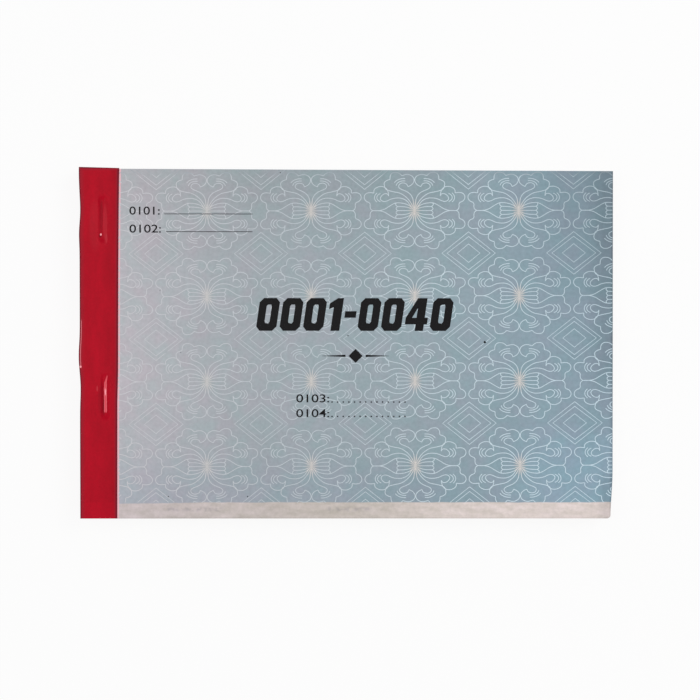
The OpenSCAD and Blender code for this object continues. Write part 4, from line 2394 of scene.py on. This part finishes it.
@dataclass
class Studio:
    """Plain soft studio with a white ground, and the camera over the book."""

    lens: float = 85.0
    camera_at: Triple = (-6.686, 12.042, 600.102)
    camera_turn: Triple = (-1.3771, -0.7638, 0.0598)
    sensor: float = 36.0
    clip_start: float = 0.01
    ambient: float = 0.5
    lamps: tuple[Lamp, ...] = (
        Lamp("key", (0.55, 0.35, 0.75), 0.5, 2.9),
        Lamp("overhead", (-0.3, 0.1, 1.1), 0.7, 3.2),
    )
    ground_size: float = 6.0
    ground_drop: float = 0.05 * MM
    ground_grey: float = 0.86
    ground_rough: float = 0.9
    ground_gloss: float = 0.1
    ground_light: float = 0.9

    def build(self) -> None:
        """Adds the ground, the lights and the camera."""
        self._world()
        self._ground()
        for lamp in self.lamps:
            lamp.add()
        self._camera()

    @staticmethod
    def _seen(sh: Shader) -> Socket:
        """One for the rays that show the ground or the world as plain white.

        Args:
            sh: Tree's helper.

        Returns:
            The mask.
        """
        path = sh.node("LightPath")
        names = ("Is Camera Ray", "Is Glossy Ray", "Is Transmission Ray")
        return sh.union(*[path.outputs[name] for name in names])

    def _world(self) -> None:
        """Plain world: white where it is seen, dimmer as a light."""
        world = bpy.data.worlds.new("studio")
        world.use_nodes = True
        bpy.context.scene.world = world
        sh = Shader(world.node_tree)
        background = world.node_tree.nodes["Background"]
        strength = sh.span(self._seen(sh), self.ambient, 1.0)
        sh.feed(background, {"Color": (1.0, 1.0, 1.0, 1.0), "Strength": strength})

    def _ground(self) -> None:
        """Pale ground that keeps a faint shadow of the book."""
        deselect_all()
        bpy.ops.mesh.primitive_plane_add(size=self.ground_size, location=(0.0, 0.0, -self.ground_drop))
        ground = bpy.context.object
        ground.name = "ground"
        material, principled = new_material("ground")
        sh = Shader(material.node_tree)
        grey = self.ground_grey
        feeds = {
            "Base Color": (grey, grey, grey, 1.0),
            "Roughness": self.ground_rough,
            "Specular IOR Level": self.ground_gloss,
        }
        sh.feed(principled, feeds)
        glow = sh.node("Emission")
        mixed = sh.node("MixShader")
        feeds = {
            0: sh.product(self._seen(sh), self.ground_light),
            1: principled.outputs[0],
            2: glow.outputs[0],
        }
        sh.feed(mixed, feeds)
        sh.feed(material.node_tree.nodes["Material Output"], {"Surface": mixed.outputs[0]})
        ground.data.materials.append(material)

    def _camera(self) -> None:
        """Adds the camera that stands where the photograph was taken."""
        deselect_all()
        place = tuple(part * MM for part in self.camera_at)
        turn = tuple(math.radians(part) for part in self.camera_turn)
        bpy.ops.object.camera_add(location=place, rotation=turn)
        camera = bpy.context.object
        camera.data.lens = self.lens
        camera.data.sensor_width = self.sensor
        camera.data.clip_start = self.clip_start
        bpy.context.scene.camera = camera


COPY_FINISHES = (
    CopyFinish(Copy.WHITE, (240, 239, 233)),
    CopyFinish(Copy.PINK, (240, 192, 203)),
    CopyFinish(Copy.YELLOW, (243, 229, 155)),
)


def dress_staples(frame: dict, wire: Material) -> None:
    """Gives the staples of the frame their wire finish.

    Args:
        frame: The loaded frame.
        wire: Material of the wire.
    """
    for name in ("upper_staple", "lower_staple"):
        staple = frame["nodes"][name]
        staple.data.materials.clear()
        staple.data.materials.append(wire)
        LOG.info("%s: kept from the frame", name)


def build_sheets(leaves: TurningLeaves, effects: SharedEffects) -> None:
    """Builds the turning sheets, their margins and the flat sets, one colour after another.

    Args:
        leaves: The turning sheets.
        effects: Shared node groups.
    """
    stack = SheetStack(leaves.book, leaves)
    for finish in COPY_FINISHES:
        face = finish.material(effects, PlaceSource.PLAN_UV, True)
        back = finish.material(effects, PlaceSource.PLAN_UV, False)
        still_face = finish.material(effects, PlaceSource.OBJECT, True)
        still = finish.material(effects, PlaceSource.OBJECT, False)
        for number in range(1, leaves.sets + 1):
            leaves.build_leaf(number, finish.copy, face, back)
        leaves.build_margins(finish.copy, still)
        stack.build(finish.copy, still_face, still)


def main() -> None:
    """Loads the frame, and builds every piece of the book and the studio."""
    logging.basicConfig(level=logging.INFO, format="%(name)s: %(message)s")
    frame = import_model()
    book = BookFrame.read()
    lattice = OrnamentLattice()
    leaves = TurningLeaves(book)
    effects = SharedEffects(book, lattice, leaves.perforation)
    tape = BindingTape(book)
    tape.build(TapeFinish().material(effects))
    finish = CoverFinish()
    cover = FrontCover(book, lattice, OrnamentMotif())
    cover.build_sheet(tape, finish.printed(effects), finish.unprinted(effects, PlaceSource.PLAN_UV))
    cover.build_ornament(OrnamentFinish().material(effects))
    black = InkFinish("black_ink", (12, 11, 13)).material(effects)
    grey = InkFinish("grey_ink", (52, 52, 57)).material(effects)
    CoverLettering(cover).build(black, grey)
    leaves.build_cover_margin(cover.tuck, finish.unprinted(effects, PlaceSource.OBJECT))
    build_sheets(leaves, effects)
    BackBoard(book, leaves, tape).build(BoardFinish().material(effects))
    dress_staples(frame, WireFinish().material(effects))
    Studio().build()
    bpy.context.scene.view_settings.view_transform = "Standard"


if __name__ == "__main__":
    main()
